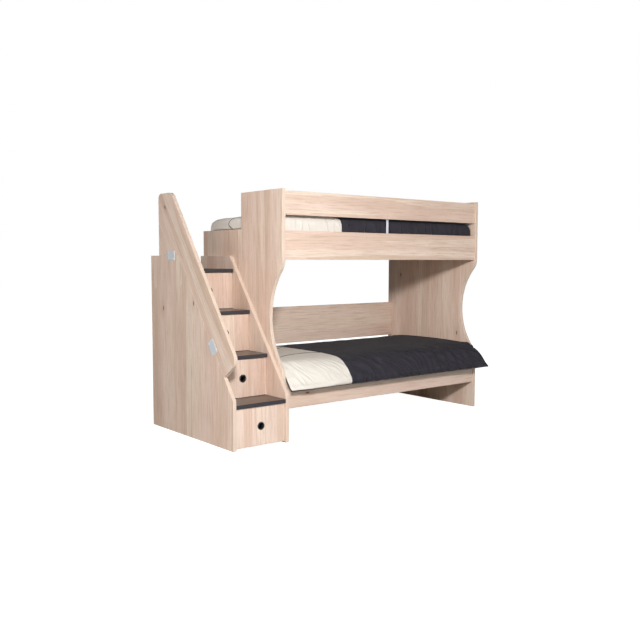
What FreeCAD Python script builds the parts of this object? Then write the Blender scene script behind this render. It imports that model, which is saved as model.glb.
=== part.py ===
import FreeCAD, Part
import math
import os

V = FreeCAD.Vector

# Bunk bed with a storage staircase on its left end, in millimetres, +Z up.
# It is drawn from the bed's left end face, front edge and floor, then moved so
# that the origin is the bottom centre of the whole object.

# Mattress and the room round it
MATTRESS_LENGTH = 1866.0
MATTRESS_WIDTH = 880.0
MATTRESS_HEIGHT = 195.0
MATTRESS_CROWN = 8.0
MATTRESS_DRAW_IN = 5.0
MATTRESS_END_ROOM = 12.0
MATTRESS_SIDE_ROOM = 17.0

# Boards
BOARD = 25.0
ARRIS = 1.2
REST_GAP = 0.3
CUT_OVERRUN = 1.0

# End panels: a tall waved board in front and a low board behind it at each end
END_HEIGHT = 1650.0
END_FRONT_DEPTH = 485.0
END_SEAM = 0.8
END_LOW_RISE = 20.0
WAVE_DEPTH = 145.0
WAVE_TOP_DROP = 1.4
WAVE_HOLLOW_RADIUS = 480.0
WAVE_SHOULDER_RADIUS = 100.0

# Rails and boards along the bed
RAIL_SETBACK = 8.0
BACK_INSET = 23.0
GUARD_DROP = 12.0
GUARD_HEIGHT = 156.0
GUARD_GAP = 102.0
RAIL_HEIGHT = 190.0
LOWER_RAIL_Z = 204.0
BACK_BOARD_Z = 518.0
BACK_BOARD_HEIGHT = 293.0

# Strap that ties the guard rail to the rail below it
STRAP_WIDTH = 20.0
STRAP_THICKNESS = 3.0
STRAP_LAP = 58.0
STRAP_SCREW_INSET = 16.0

# Slat base of each bunk
BEARER_RAISE = 24.0
BEARER_HEIGHT = 40.0
BEARER_THICKNESS = 25.0
CLEAT_THICKNESS = 22.0
CLEAT_GAP = 0.5
SLAT_COUNT = 14
SLAT_WIDTH = 70.0
SLAT_THICKNESS = 18.0
SLAT_END_GAP = 2.0

# Cam fittings that hold the rails and treads between the upright boards
CAM_RADIUS = 7.5
CAM_DEPTH = 17.0
CAM_INSET = 34.0
CAM_BOLT_RADIUS = 3.0
CAM_BOLT_BITE = 12.0
CAM_EDGE_MARGIN = 45.0
CAM_FIT = 0.15

# Bolts that hold the staircase to the bed
TIE_BOLT_RADIUS = 3.0
TIE_BOLT_FIT = 0.1
TIE_HEAD_RADIUS = 7.5
TIE_HEAD_HEIGHT = 2.0
TIE_BOLT_RISE = 57.0
TIE_BOLT_DROP = 115.0
TIE_BOLT_FRONT_Y = 420.0
TIE_BOLT_REAR_INSET = 200.0

# Staircase
STAIR_WIDTH = 430.0
STAIR_FRONT = 70.0
TREAD_COUNT = 4
FIRST_TREAD_Z = 288.0
LANDING_DROP = 65.0
GOING = 206.5
TREAD_BOARD = 25.0
TREAD_TUCK = 70.0
SIDE_LIP = 28.0
SIDE_TOP_RISE = 91.0
SIDE_CORNER_RADIUS = 30.0
STAIR_BACK_BOARD = 16.0

# Handrail board, in line with the outer side and seated on it
RAIL_BOARD_WIDTH = 178.0
RAIL_NOTCH_Y = 32.0
RAIL_NOSE_RADIUS = 62.0
RAIL_TOP_RUN = 182.3
RAIL_REAR_INSET = 122.0
RAIL_TOP_RADIUS = 68.0
RAIL_REAR_RADIUS = 36.0

# Steel joining plates over the joint of the handrail board
PLATE_LENGTH = 96.0
PLATE_WIDTH = 66.0
PLATE_THICKNESS = 3.0
PLATE_RADIUS = 6.0
PLATE_HOLE_INSET = 13.0
UPPER_PLATE_INSET = 175.0
LOWER_PLATE_Y = 165.0
SCREW_SHANK_RADIUS = 2.0
SCREW_LENGTH = 16.0
SCREW_HEAD_RADIUS = 4.2
SCREW_CROWN_RADIUS = 2.8
SCREW_HEAD_HEIGHT = 1.8
SCREW_FIT = 0.1

# Drawers under the treads
DRAWER_SETBACK = 11.0
DRAWER_FRONT_BOARD = 16.0
DRAWER_REVEAL = 2.0
DRAWER_FLOOR_GAP = 12.0
DRAWER_BACK_ROOM = 6.5
DRAWER_TOP_ROOM = 40.0
DRAWER_BOARD = 12.0
DRAWER_RAISE = 20.0
BOTTOM_THICKNESS = 4.0
BOTTOM_RAISE = 12.0
GROOVE_DEPTH = 6.0
GROOVE_FIT = 0.2

# Finger pull: a ring pressed into a round hole in each drawer front
PULL_HOLE_RADIUS = 22.0
PULL_FLANGE_RADIUS = 26.0
PULL_FLANGE_HEIGHT = 3.0
PULL_BORE_RADIUS = 18.5
PULL_LIP = 1.2
PULL_FIT = 0.1

# Roller runners: a channel on each stair side and a flanged strip on the drawer
RUNNER_ROOM = 12.7
RUNNER_SHEET = 1.2
RUNNER_FRONT_GAP = 2.0
RUNNER_END_GAP = 2.0
CHANNEL_INSIDE = 20.0
CHANNEL_LIP = 8.8
CHANNEL_RAISE = 8.0
CHANNEL_MOUTH = 28.0
ROLLER_RADIUS = 9.7
ROLLER_WIDTH = 7.4
ROLLER_END_INSET = 14.0
ROLLER_GAP = 0.3
ROLLER_BORE_FIT = 0.06
FRONT_ROLLER_LIFT = 3.0
PIN_RADIUS = 2.5
PIN_HEAD_RADIUS = 4.0
PIN_HEAD_HEIGHT = 0.8
STRIP_HEIGHT = 32.0
STRIP_GAP = 0.1
TRACK_CLEAR = 1.8

# Bedding
BEDDING_GAP = 0.5
BEDDING_END_GAP = 2.0
UPPER_DUVET_LOFT = 26.0
UPPER_DUVET_TUCK = 127.0
UPPER_DUVET_SKIRT = 9.0
UPPER_DUVET_SHOULDER = 22.0
UPPER_DUVET_PUFF = 2.5
UPPER_DUVET_PUFFS = 4
UPPER_DUVET_STATIONS = 17
LOWER_DUVET_LOFT = 44.0
LOWER_DUVET_SHOULDER_DROP = 14.0
LOWER_DUVET_SHOULDER_OUT = 30.0
LOWER_DUVET_REAR_DROP = 20.0
LOWER_DUVET_HEM_Z = 330.0
LOWER_DUVET_HEM_LIFT = 18.0
LOWER_DUVET_HEM = 20.0
LOWER_DUVET_HANG = 72.0
LOWER_DUVET_FLARE = 62.0
LOWER_DUVET_FOLD = 9.0
LOWER_DUVET_BULGE = 24.0
LOWER_DUVET_FOLDS = 9
LOWER_DUVET_STATIONS_PER_FOLD = 4
FLARE_POWER = 4
SLOW_FOLD_SHARE = 0.6
DRAPE_FOLD_SHARE = 0.6

# Sizes that follow from the values above
inner_length = MATTRESS_LENGTH + 2 * MATTRESS_END_ROOM
inner_width = MATTRESS_WIDTH + 2 * MATTRESS_SIDE_ROOM
bed_length = inner_length + 2 * BOARD
rail_inner_y = RAIL_SETBACK + BOARD
back_inner_y = rail_inner_y + inner_width
bed_depth = back_inner_y + BOARD + BACK_INSET
guard_top_z = END_HEIGHT - GUARD_DROP
guard_z = guard_top_z - GUARD_HEIGHT
upper_rail_top_z = guard_z - GUARD_GAP
upper_rail_z = upper_rail_top_z - RAIL_HEIGHT
end_low_height = upper_rail_top_z + END_LOW_RISE
bearer_top_raise = BEARER_RAISE + BEARER_HEIGHT
slat_top_raise = bearer_top_raise + SLAT_THICKNESS
mattress_x = BOARD + MATTRESS_END_ROOM
mattress_y = rail_inner_y + MATTRESS_SIDE_ROOM
upper_mattress_z = upper_rail_z + slat_top_raise + REST_GAP
lower_mattress_z = LOWER_RAIL_Z + slat_top_raise + REST_GAP
stair_in_left = -STAIR_WIDTH + BOARD
stair_in_right = -BOARD
stair_middle_x = (stair_in_left + stair_in_right) / 2
landing_z = upper_rail_z - LANDING_DROP
rise = (landing_z - FIRST_TREAD_Z) / (TREAD_COUNT - 1)
pitch = math.atan2(rise, GOING)
side_top_z = landing_z + SIDE_TOP_RISE
rail_rear_y = bed_depth - RAIL_REAR_INSET
upper_plate_y = rail_rear_y - UPPER_PLATE_INSET
last_nosing_y = (TREAD_COUNT - 1) * GOING - STAIR_FRONT
drawer_back_y = bed_depth - STAIR_BACK_BOARD - DRAWER_BACK_ROOM
drawer_depth = drawer_back_y - last_nosing_y - DRAWER_SETBACK - DRAWER_FRONT_BOARD
duvet_reach = LOWER_DUVET_HANG + LOWER_DUVET_FLARE + LOWER_DUVET_FOLD
origin_shift = V((STAIR_WIDTH - bed_length) / 2, (duvet_reach - bed_depth) / 2, 0)
ALONG_X = V(1, 0, 0)
ALONG_Y = V(0, 1, 0)
ALONG_Z = V(0, 0, 1)


def block(x0, x1, y0, y1, z0, z1):
    """A plain block between two corners."""
    return Part.makeBox(x1 - x0, y1 - y0, z1 - z0, V(x0, y0, z0))


def eased(shape):
    """The shape with its sharp edges taken off, as an edge band leaves them."""
    return shape.makeChamfer(ARRIS, shape.Edges)


def board(x0, x1, y0, y1, z0, z1):
    return eased(block(x0, x1, y0, y1, z0, z1))


def rod(start, direction, radius, length):
    return Part.makeCylinder(radius, length, start, direction)


def line(start, end):
    return Part.LineSegment(start, end).toShape()


def arc_round(centre, radius, start, end):
    """The shorter arc about a centre from one point to another."""
    half_way = ((start - centre) + (end - centre)).normalize()
    return Part.Arc(start, centre + half_way * radius, end).toShape()


def arc_by(start, middle, end):
    return Part.Arc(start, middle, end).toShape()


def rounded_outline(corners):
    """A closed wire in the YZ plane through (y, z, radius) corners."""
    edges = []
    ends = []
    count = len(corners)
    for i in range(count):
        before = V(0, *corners[i - 1][:2])
        corner = V(0, *corners[i][:2])
        after = V(0, *corners[(i + 1) % count][:2])
        radius = corners[i][2]
        to_before = (before - corner).normalize()
        to_after = (after - corner).normalize()
        half_turn = to_before.getAngle(to_after) / 2
        cut_back = radius / math.tan(half_turn)
        first = corner + to_before * cut_back
        last = corner + to_after * cut_back
        ends.append((first, last))
        if radius > 0:
            inward = (to_before + to_after).normalize()
            centre = corner + inward * (radius / math.sin(half_turn))
            edges.append(arc_round(centre, radius, first, last))
    for i in range(count):
        edges.append(line(ends[i][1], ends[(i + 1) % count][0]))
    return Part.Wire(Part.__sortEdges__(edges))


def upright_board(outline, x0):
    """A board standing in the YZ plane, one board thick from x0."""
    solid = Part.Face(outline).extrude(V(BOARD, 0, 0))
    solid.translate(V(x0, 0, 0))
    return eased(solid)


class Fittings:
    """Cam fittings and the bores that they need, gathered as boards are joined."""

    def __init__(self):
        self.cams = []
        self.bolts = []

    def join(self, face_point, into, cam_side, half_board):
        """One cam and bolt where a board meets an upright; returns both boards' bores."""
        bolt_start = face_point - into * CAM_BOLT_BITE
        bolt_length = CAM_BOLT_BITE + CAM_INSET - CAM_RADIUS - CAM_FIT
        bolt = rod(bolt_start, into, CAM_BOLT_RADIUS, bolt_length)
        cam_centre = face_point + into * CAM_INSET
        cam_mouth = cam_centre + cam_side * half_board
        self.cams.append(rod(cam_mouth, -cam_side, CAM_RADIUS, CAM_DEPTH))
        self.bolts.append(bolt)
        bolt_bore = rod(
            bolt_start - into * CAM_FIT,
            into,
            CAM_BOLT_RADIUS + CAM_FIT,
            CAM_BOLT_BITE + CAM_FIT + CAM_INSET,
        )
        cam_bore = rod(
            cam_mouth + cam_side * CUT_OVERRUN,
            -cam_side,
            CAM_RADIUS + CAM_FIT,
            CUT_OVERRUN + CAM_DEPTH + CAM_FIT,
        )
        return bolt_bore, cam_bore


def bored(solid, bores):
    return solid.cut(Part.makeCompound(bores)) if bores else solid


def wave_outline():
    """The tall end board: straight front edge with one deep hollow in it."""
    reach = WAVE_HOLLOW_RADIUS + WAVE_SHOULDER_RADIUS
    side = reach - WAVE_DEPTH
    half_span = math.sqrt(reach**2 - side**2)
    top_z = upper_rail_z - WAVE_TOP_DROP
    hollow = V(0, WAVE_DEPTH - WAVE_HOLLOW_RADIUS, top_z - half_span)
    upper = V(0, WAVE_SHOULDER_RADIUS, top_z)
    lower = V(0, WAVE_SHOULDER_RADIUS, top_z - 2 * half_span)
    upper_touch = hollow + (upper - hollow).normalize() * WAVE_HOLLOW_RADIUS
    lower_touch = hollow + (lower - hollow).normalize() * WAVE_HOLLOW_RADIUS
    upper_start = V(0, 0, upper.z)
    lower_end = V(0, 0, lower.z)
    top_front = V(0, 0, END_HEIGHT)
    top_rear = V(0, END_FRONT_DEPTH, END_HEIGHT)
    foot_rear = V(0, END_FRONT_DEPTH, 0)
    foot_front = V(0, 0, 0)
    return Part.Wire(
        [
            line(top_front, upper_start),
            arc_round(upper, WAVE_SHOULDER_RADIUS, upper_start, upper_touch),
            arc_round(hollow, WAVE_HOLLOW_RADIUS, upper_touch, lower_touch),
            arc_round(lower, WAVE_SHOULDER_RADIUS, lower_touch, lower_end),
            line(lower_end, foot_front),
            line(foot_front, foot_rear),
            line(foot_rear, top_rear),
            line(top_rear, top_front),
        ]
    )


def low_end_board(x0):
    return board(x0, x0 + BOARD, END_FRONT_DEPTH + END_SEAM, bed_depth, 0, end_low_height)


def long_rail(y0, z0, height, fittings, left_bores, right_bores):
    """A rail between the two ends, held by two cams at each of its ends."""
    rail = board(BOARD, bed_length - BOARD, y0, y0 + BOARD, z0, z0 + height)
    bores = []
    ends = ((BOARD, ALONG_X, left_bores), (bed_length - BOARD, -ALONG_X, right_bores))
    for x, into, end_bores in ends:
        for z in (z0 + CAM_EDGE_MARGIN, z0 + height - CAM_EDGE_MARGIN):
            face_point = V(x, y0 + BOARD / 2, z)
            bolt_bore, cam_bore = fittings.join(face_point, into, ALONG_Y, BOARD / 2)
            bores += [bolt_bore, cam_bore]
            end_bores.append(bolt_bore)
    return bored(rail, bores)


def guard_strap():
    """A flat bar on the inner faces of the guard rail and the rail below it."""
    x = bed_length / 2
    strap = block(
        x - STRAP_WIDTH / 2,
        x + STRAP_WIDTH / 2,
        rail_inner_y,
        rail_inner_y + STRAP_THICKNESS,
        upper_rail_top_z - STRAP_LAP,
        guard_z + STRAP_LAP,
    )
    return strap


def strap_screw_points():
    x = bed_length / 2
    y = rail_inner_y + STRAP_THICKNESS
    low = upper_rail_top_z - STRAP_LAP
    high = guard_z + STRAP_LAP
    heights = (
        low + STRAP_SCREW_INSET,
        upper_rail_top_z - STRAP_SCREW_INSET,
        guard_z + STRAP_SCREW_INSET,
        high - STRAP_SCREW_INSET,
    )
    return [V(x, y, z) for z in heights]


def screw(seat, out):
    """A pan-head screw whose head sits on a face that looks along out."""
    head = Part.makeCone(SCREW_HEAD_RADIUS, SCREW_CROWN_RADIUS, SCREW_HEAD_HEIGHT, seat, out)
    shank = rod(seat, -out, SCREW_SHANK_RADIUS, SCREW_LENGTH)
    return head.fuse(shank).removeSplitter()


def screw_bore(seat, out):
    start = seat + out * CUT_OVERRUN
    length = CUT_OVERRUN + SCREW_LENGTH + SCREW_FIT
    return rod(start, -out, SCREW_SHANK_RADIUS + SCREW_FIT, length)


def bearers(rail_z):
    """Two battens inside the front and back rails that carry the slats."""
    z0 = rail_z + BEARER_RAISE
    z1 = z0 + BEARER_HEIGHT
    x1 = bed_length - BOARD
    front = block(BOARD, x1, rail_inner_y, rail_inner_y + BEARER_THICKNESS, z0, z1)
    back = block(BOARD, x1, back_inner_y - BEARER_THICKNESS, back_inner_y, z0, z1)
    return [front, back]


def cleats(rail_z):
    """Battens across each end that tie its two boards together."""
    z0 = rail_z + BEARER_RAISE
    z1 = z0 + BEARER_HEIGHT
    y0 = rail_inner_y + BEARER_THICKNESS + CLEAT_GAP
    y1 = back_inner_y - BEARER_THICKNESS - CLEAT_GAP
    left = block(BOARD, BOARD + CLEAT_THICKNESS, y0, y1, z0, z1)
    right = block(bed_length - BOARD - CLEAT_THICKNESS, bed_length - BOARD, y0, y1, z0, z1)
    return [left, right]


def slats(rail_z):
    z0 = rail_z + bearer_top_raise
    pitch_x = inner_length / SLAT_COUNT
    y0 = rail_inner_y + SLAT_END_GAP
    y1 = back_inner_y - SLAT_END_GAP
    row = []
    for i in range(SLAT_COUNT):
        x0 = BOARD + (i + 0.5) * pitch_x - SLAT_WIDTH / 2
        row.append(board(x0, x0 + SLAT_WIDTH, y0, y1, z0, z0 + SLAT_THICKNESS))
    return row


def mattress(z0):
    """A crowned pad whose sides draw in, lofted through sections along the bed."""
    station_shares = (0, 0.01, 0.03, 0.08, 0.92, 0.97, 0.99, 1)
    fullness_shares = (0, 0.5, 0.8, 1, 1, 0.8, 0.5, 0)
    y_middle = mattress_y + MATTRESS_WIDTH / 2
    sections = []
    for along, full in zip(station_shares, fullness_shares):
        x = mattress_x + along * MATTRESS_LENGTH
        half = MATTRESS_WIDTH / 2 - MATTRESS_DRAW_IN * (1 - full)
        crown_z = z0 + MATTRESS_HEIGHT - MATTRESS_CROWN * (1 - full)
        edge_z = z0 + MATTRESS_HEIGHT - MATTRESS_CROWN * (2 - full)
        side_z = (z0 + edge_z) / 2
        front_low = V(x, y_middle - half, z0)
        front_high = V(x, y_middle - half, edge_z)
        back_high = V(x, y_middle + half, edge_z)
        back_low = V(x, y_middle + half, z0)
        front_in = V(x, y_middle - half + MATTRESS_DRAW_IN, side_z)
        back_in = V(x, y_middle + half - MATTRESS_DRAW_IN, side_z)
        sections.append(
            Part.Wire(
                [
                    arc_by(front_low, front_in, front_high),
                    arc_by(front_high, V(x, y_middle, crown_z), back_high),
                    arc_by(back_high, back_in, back_low),
                    line(back_low, front_low),
                ]
            )
        )
    return Part.makeLoft(sections, True, True)


def bedding_stations(count):
    first = BOARD + BEDDING_END_GAP
    span = inner_length - 2 * BEDDING_END_GAP
    shares = [i / (count - 1) for i in range(count)]
    return [(share, first + span * share) for share in shares]


def upper_duvet():
    """A duvet that lies on the upper mattress and is tucked down beside it."""
    top_z = upper_mattress_z + MATTRESS_HEIGHT
    edge_z = top_z - MATTRESS_CROWN
    side_room = STRAP_THICKNESS + SCREW_HEAD_HEIGHT + BEDDING_GAP
    outer_front = rail_inner_y + side_room
    outer_back = back_inner_y - side_room
    inner_front = outer_front + UPPER_DUVET_SKIRT
    inner_back = outer_back - UPPER_DUVET_SKIRT
    skirt_z = edge_z - UPPER_DUVET_TUCK
    lid_z = edge_z + BEDDING_GAP
    shoulder_z = edge_z + UPPER_DUVET_LOFT - UPPER_DUVET_SHOULDER
    flat_z = edge_z + UPPER_DUVET_LOFT
    bend = UPPER_DUVET_SHOULDER * (1 - math.sqrt(0.5))
    middle_y = (outer_front + outer_back) / 2
    sections = []
    for along, x in bedding_stations(UPPER_DUVET_STATIONS):
        puff = UPPER_DUVET_PUFF * math.cos(2 * math.pi * UPPER_DUVET_PUFFS * along)
        crown_z = top_z + UPPER_DUVET_LOFT + puff
        a = V(x, outer_front, skirt_z)
        b = V(x, outer_front, shoulder_z)
        c = V(x, outer_front + UPPER_DUVET_SHOULDER, flat_z)
        d = V(x, outer_back - UPPER_DUVET_SHOULDER, flat_z)
        e = V(x, outer_back, shoulder_z)
        f = V(x, outer_back, skirt_z)
        g = V(x, inner_back, skirt_z)
        h = V(x, inner_back, lid_z)
        k = V(x, inner_front, lid_z)
        m = V(x, inner_front, skirt_z)
        front_bend = V(x, outer_front + bend, flat_z - bend)
        back_bend = V(x, outer_back - bend, flat_z - bend)
        sections.append(
            Part.Wire(
                [
                    line(a, b),
                    arc_by(b, front_bend, c),
                    arc_by(c, V(x, middle_y, crown_z), d),
                    arc_by(d, back_bend, e),
                    line(e, f),
                    line(f, g),
                    line(g, h),
                    arc_by(h, V(x, middle_y, top_z + BEDDING_GAP), k),
                    line(k, m),
                    line(m, a),
                ]
            )
        )
    return Part.makeLoft(sections, True, True)


def fold_wave(along):
    """Uneven folds along the hem, from -1 in to +1 out at the right end."""
    turn = 2 * math.pi * LOWER_DUVET_FOLDS * (1 - along)
    slow_turn = turn * SLOW_FOLD_SHARE
    return (math.cos(turn) + SLOW_FOLD_SHARE * math.cos(slow_turn)) / (1 + SLOW_FOLD_SHARE)


def lower_duvet():
    """A duvet that lies on the lower mattress and falls over the front rail in folds."""
    top_z = lower_mattress_z + MATTRESS_HEIGHT
    edge_z = top_z - MATTRESS_CROWN
    front_y = mattress_y
    back_y = mattress_y + MATTRESS_WIDTH
    middle_y = (front_y + back_y) / 2
    crown_z = top_z + LOWER_DUVET_LOFT
    shoulder = (front_y - LOWER_DUVET_SHOULDER_OUT, crown_z - LOWER_DUVET_SHOULDER_DROP)
    stations = LOWER_DUVET_FOLDS * LOWER_DUVET_STATIONS_PER_FOLD + 1
    sections = []
    for along, x in bedding_stations(stations):
        fold = LOWER_DUVET_FOLD * fold_wave(along)
        flare = LOWER_DUVET_FLARE * along**FLARE_POWER
        hang_y = -(LOWER_DUVET_HANG + flare + fold)
        hem_z = LOWER_DUVET_HEM_Z + LOWER_DUVET_HEM_LIFT * along
        back_low = V(x, back_y, edge_z + BEDDING_GAP)
        front_low = V(x, front_y, edge_z + BEDDING_GAP)
        hem_in = V(x, hang_y + LOWER_DUVET_HEM, hem_z)
        hem_out = V(x, hang_y, hem_z)
        front_high = V(x, *shoulder)
        back_high = V(x, back_y, crown_z - LOWER_DUVET_REAR_DROP)
        slope = hem_out - front_high
        outward = V(0, slope.z, -slope.y).normalize()
        bulge = LOWER_DUVET_BULGE + fold * DRAPE_FOLD_SHARE
        drape_in = (front_low + hem_in) / 2 + outward * bulge
        drape_out = (front_high + hem_out) / 2 + outward * bulge
        rear_out = (back_low + back_high) / 2 + ALONG_Y * BEDDING_END_GAP
        sections.append(
            Part.Wire(
                [
                    arc_by(back_low, V(x, middle_y, top_z + BEDDING_GAP), front_low),
                    arc_by(front_low, drape_in, hem_in),
                    line(hem_in, hem_out),
                    arc_by(hem_out, drape_out, front_high),
                    arc_by(front_high, V(x, middle_y, crown_z), back_high),
                    arc_by(back_high, rear_out, back_low),
                ]
            )
        )
    return Part.makeLoft(sections, True, True)


def slope_z(y):
    """Height of the stair sides' sloping edge above the floor."""
    return FIRST_TREAD_Z + SIDE_LIP + (y + STAIR_FRONT) * math.tan(pitch)


def slope_y(z):
    return (z - FIRST_TREAD_Z - SIDE_LIP) / math.tan(pitch) - STAIR_FRONT


def stair_side_outline():
    return rounded_outline(
        [
            (-STAIR_FRONT, 0, 0),
            (-STAIR_FRONT, slope_z(-STAIR_FRONT), SIDE_CORNER_RADIUS),
            (slope_y(side_top_z), side_top_z, 0),
            (bed_depth, side_top_z, 0),
            (bed_depth, 0, 0),
        ]
    )


def handrail_outline():
    """A strip along the slope with a square, round-nosed foot and a wide head."""
    notch_z = slope_z(RAIL_NOTCH_Y)
    nose_y = RAIL_NOTCH_Y - RAIL_BOARD_WIDTH * math.sin(pitch)
    nose_z = notch_z + RAIL_BOARD_WIDTH * math.cos(pitch)
    top_front_y = rail_rear_y - RAIL_TOP_RUN
    top_z = nose_z + (top_front_y - nose_y) * math.tan(pitch)
    return rounded_outline(
        [
            (RAIL_NOTCH_Y, notch_z, 0),
            (nose_y, nose_z, RAIL_NOSE_RADIUS),
            (top_front_y, top_z, RAIL_TOP_RADIUS),
            (rail_rear_y, top_z, RAIL_REAR_RADIUS),
            (rail_rear_y, side_top_z, 0),
            (slope_y(side_top_z), side_top_z, 0),
        ]
    )


def joining_plate(y, z, turn):
    """A rounded steel plate on the outer face, with its four screw seats."""
    half_long = PLATE_LENGTH / 2
    half_wide = PLATE_WIDTH / 2
    outline = rounded_outline(
        [
            (-half_long, -half_wide, PLATE_RADIUS),
            (half_long, -half_wide, PLATE_RADIUS),
            (half_long, half_wide, PLATE_RADIUS),
            (-half_long, half_wide, PLATE_RADIUS),
        ]
    )
    plate = Part.Face(outline).extrude(V(-PLATE_THICKNESS, 0, 0))
    hole_y = half_long - PLATE_HOLE_INSET
    hole_z = half_wide - PLATE_HOLE_INSET
    spin = FreeCAD.Rotation(ALONG_X, math.degrees(turn))
    place = FreeCAD.Placement(V(-STAIR_WIDTH, y, z), spin)
    plate.Placement = place
    seats = []
    for side_y in (-hole_y, hole_y):
        for side_z in (-hole_z, hole_z):
            seats.append(place.multVec(V(-PLATE_THICKNESS, side_y, side_z)))
    return plate, seats


def nosing_y(step):
    return -STAIR_FRONT + step * GOING


def tread_top(step):
    return FIRST_TREAD_Z + step * rise


def tread(step, fittings, outer_bores, inner_bores):
    """A tread held between the stair sides by cams in its underside."""
    y0 = nosing_y(step)
    is_landing = step == TREAD_COUNT - 1
    y1 = bed_depth if is_landing else y0 + GOING + TREAD_TUCK
    z1 = tread_top(step)
    z0 = z1 - TREAD_BOARD
    plank = board(stair_in_left, stair_in_right, y0, y1, z0, z1)
    bores = []
    ends = ((stair_in_left, ALONG_X, outer_bores), (stair_in_right, -ALONG_X, inner_bores))
    for x, into, side_bores in ends:
        for y in (y0 + CAM_EDGE_MARGIN, y1 - CAM_EDGE_MARGIN):
            face_point = V(x, y, z0 + TREAD_BOARD / 2)
            bolt_bore, cam_bore = fittings.join(face_point, into, -ALONG_Z, TREAD_BOARD / 2)
            bores += [bolt_bore, cam_bore]
            side_bores.append(bolt_bore)
    return bored(plank, bores)


def tie_bolts():
    """Bolts through the inner stair side and the bed's left end, with their bores."""
    bolts = []
    bores = []
    left = -BOARD - TIE_HEAD_HEIGHT
    length = 2 * BOARD + 2 * TIE_HEAD_HEIGHT
    rear_y = bed_depth - TIE_BOLT_REAR_INSET
    low_z = tread_top(0) + TIE_BOLT_RISE
    places = (
        (TIE_BOLT_FRONT_Y, low_z),
        (TIE_BOLT_FRONT_Y, tread_top(1) + TIE_BOLT_RISE),
        (rear_y, low_z),
        (rear_y, landing_z - TIE_BOLT_DROP),
    )
    for y, z in places:
        shank = rod(V(left, y, z), ALONG_X, TIE_BOLT_RADIUS, length)
        head = rod(V(left, y, z), ALONG_X, TIE_HEAD_RADIUS, TIE_HEAD_HEIGHT)
        nut = rod(V(BOARD, y, z), ALONG_X, TIE_HEAD_RADIUS, TIE_HEAD_HEIGHT)
        bolts.append(shank.multiFuse([head, nut]).removeSplitter())
        bores.append(rod(V(left, y, z), ALONG_X, TIE_BOLT_RADIUS + TIE_BOLT_FIT, length))
    return bolts, bores


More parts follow.
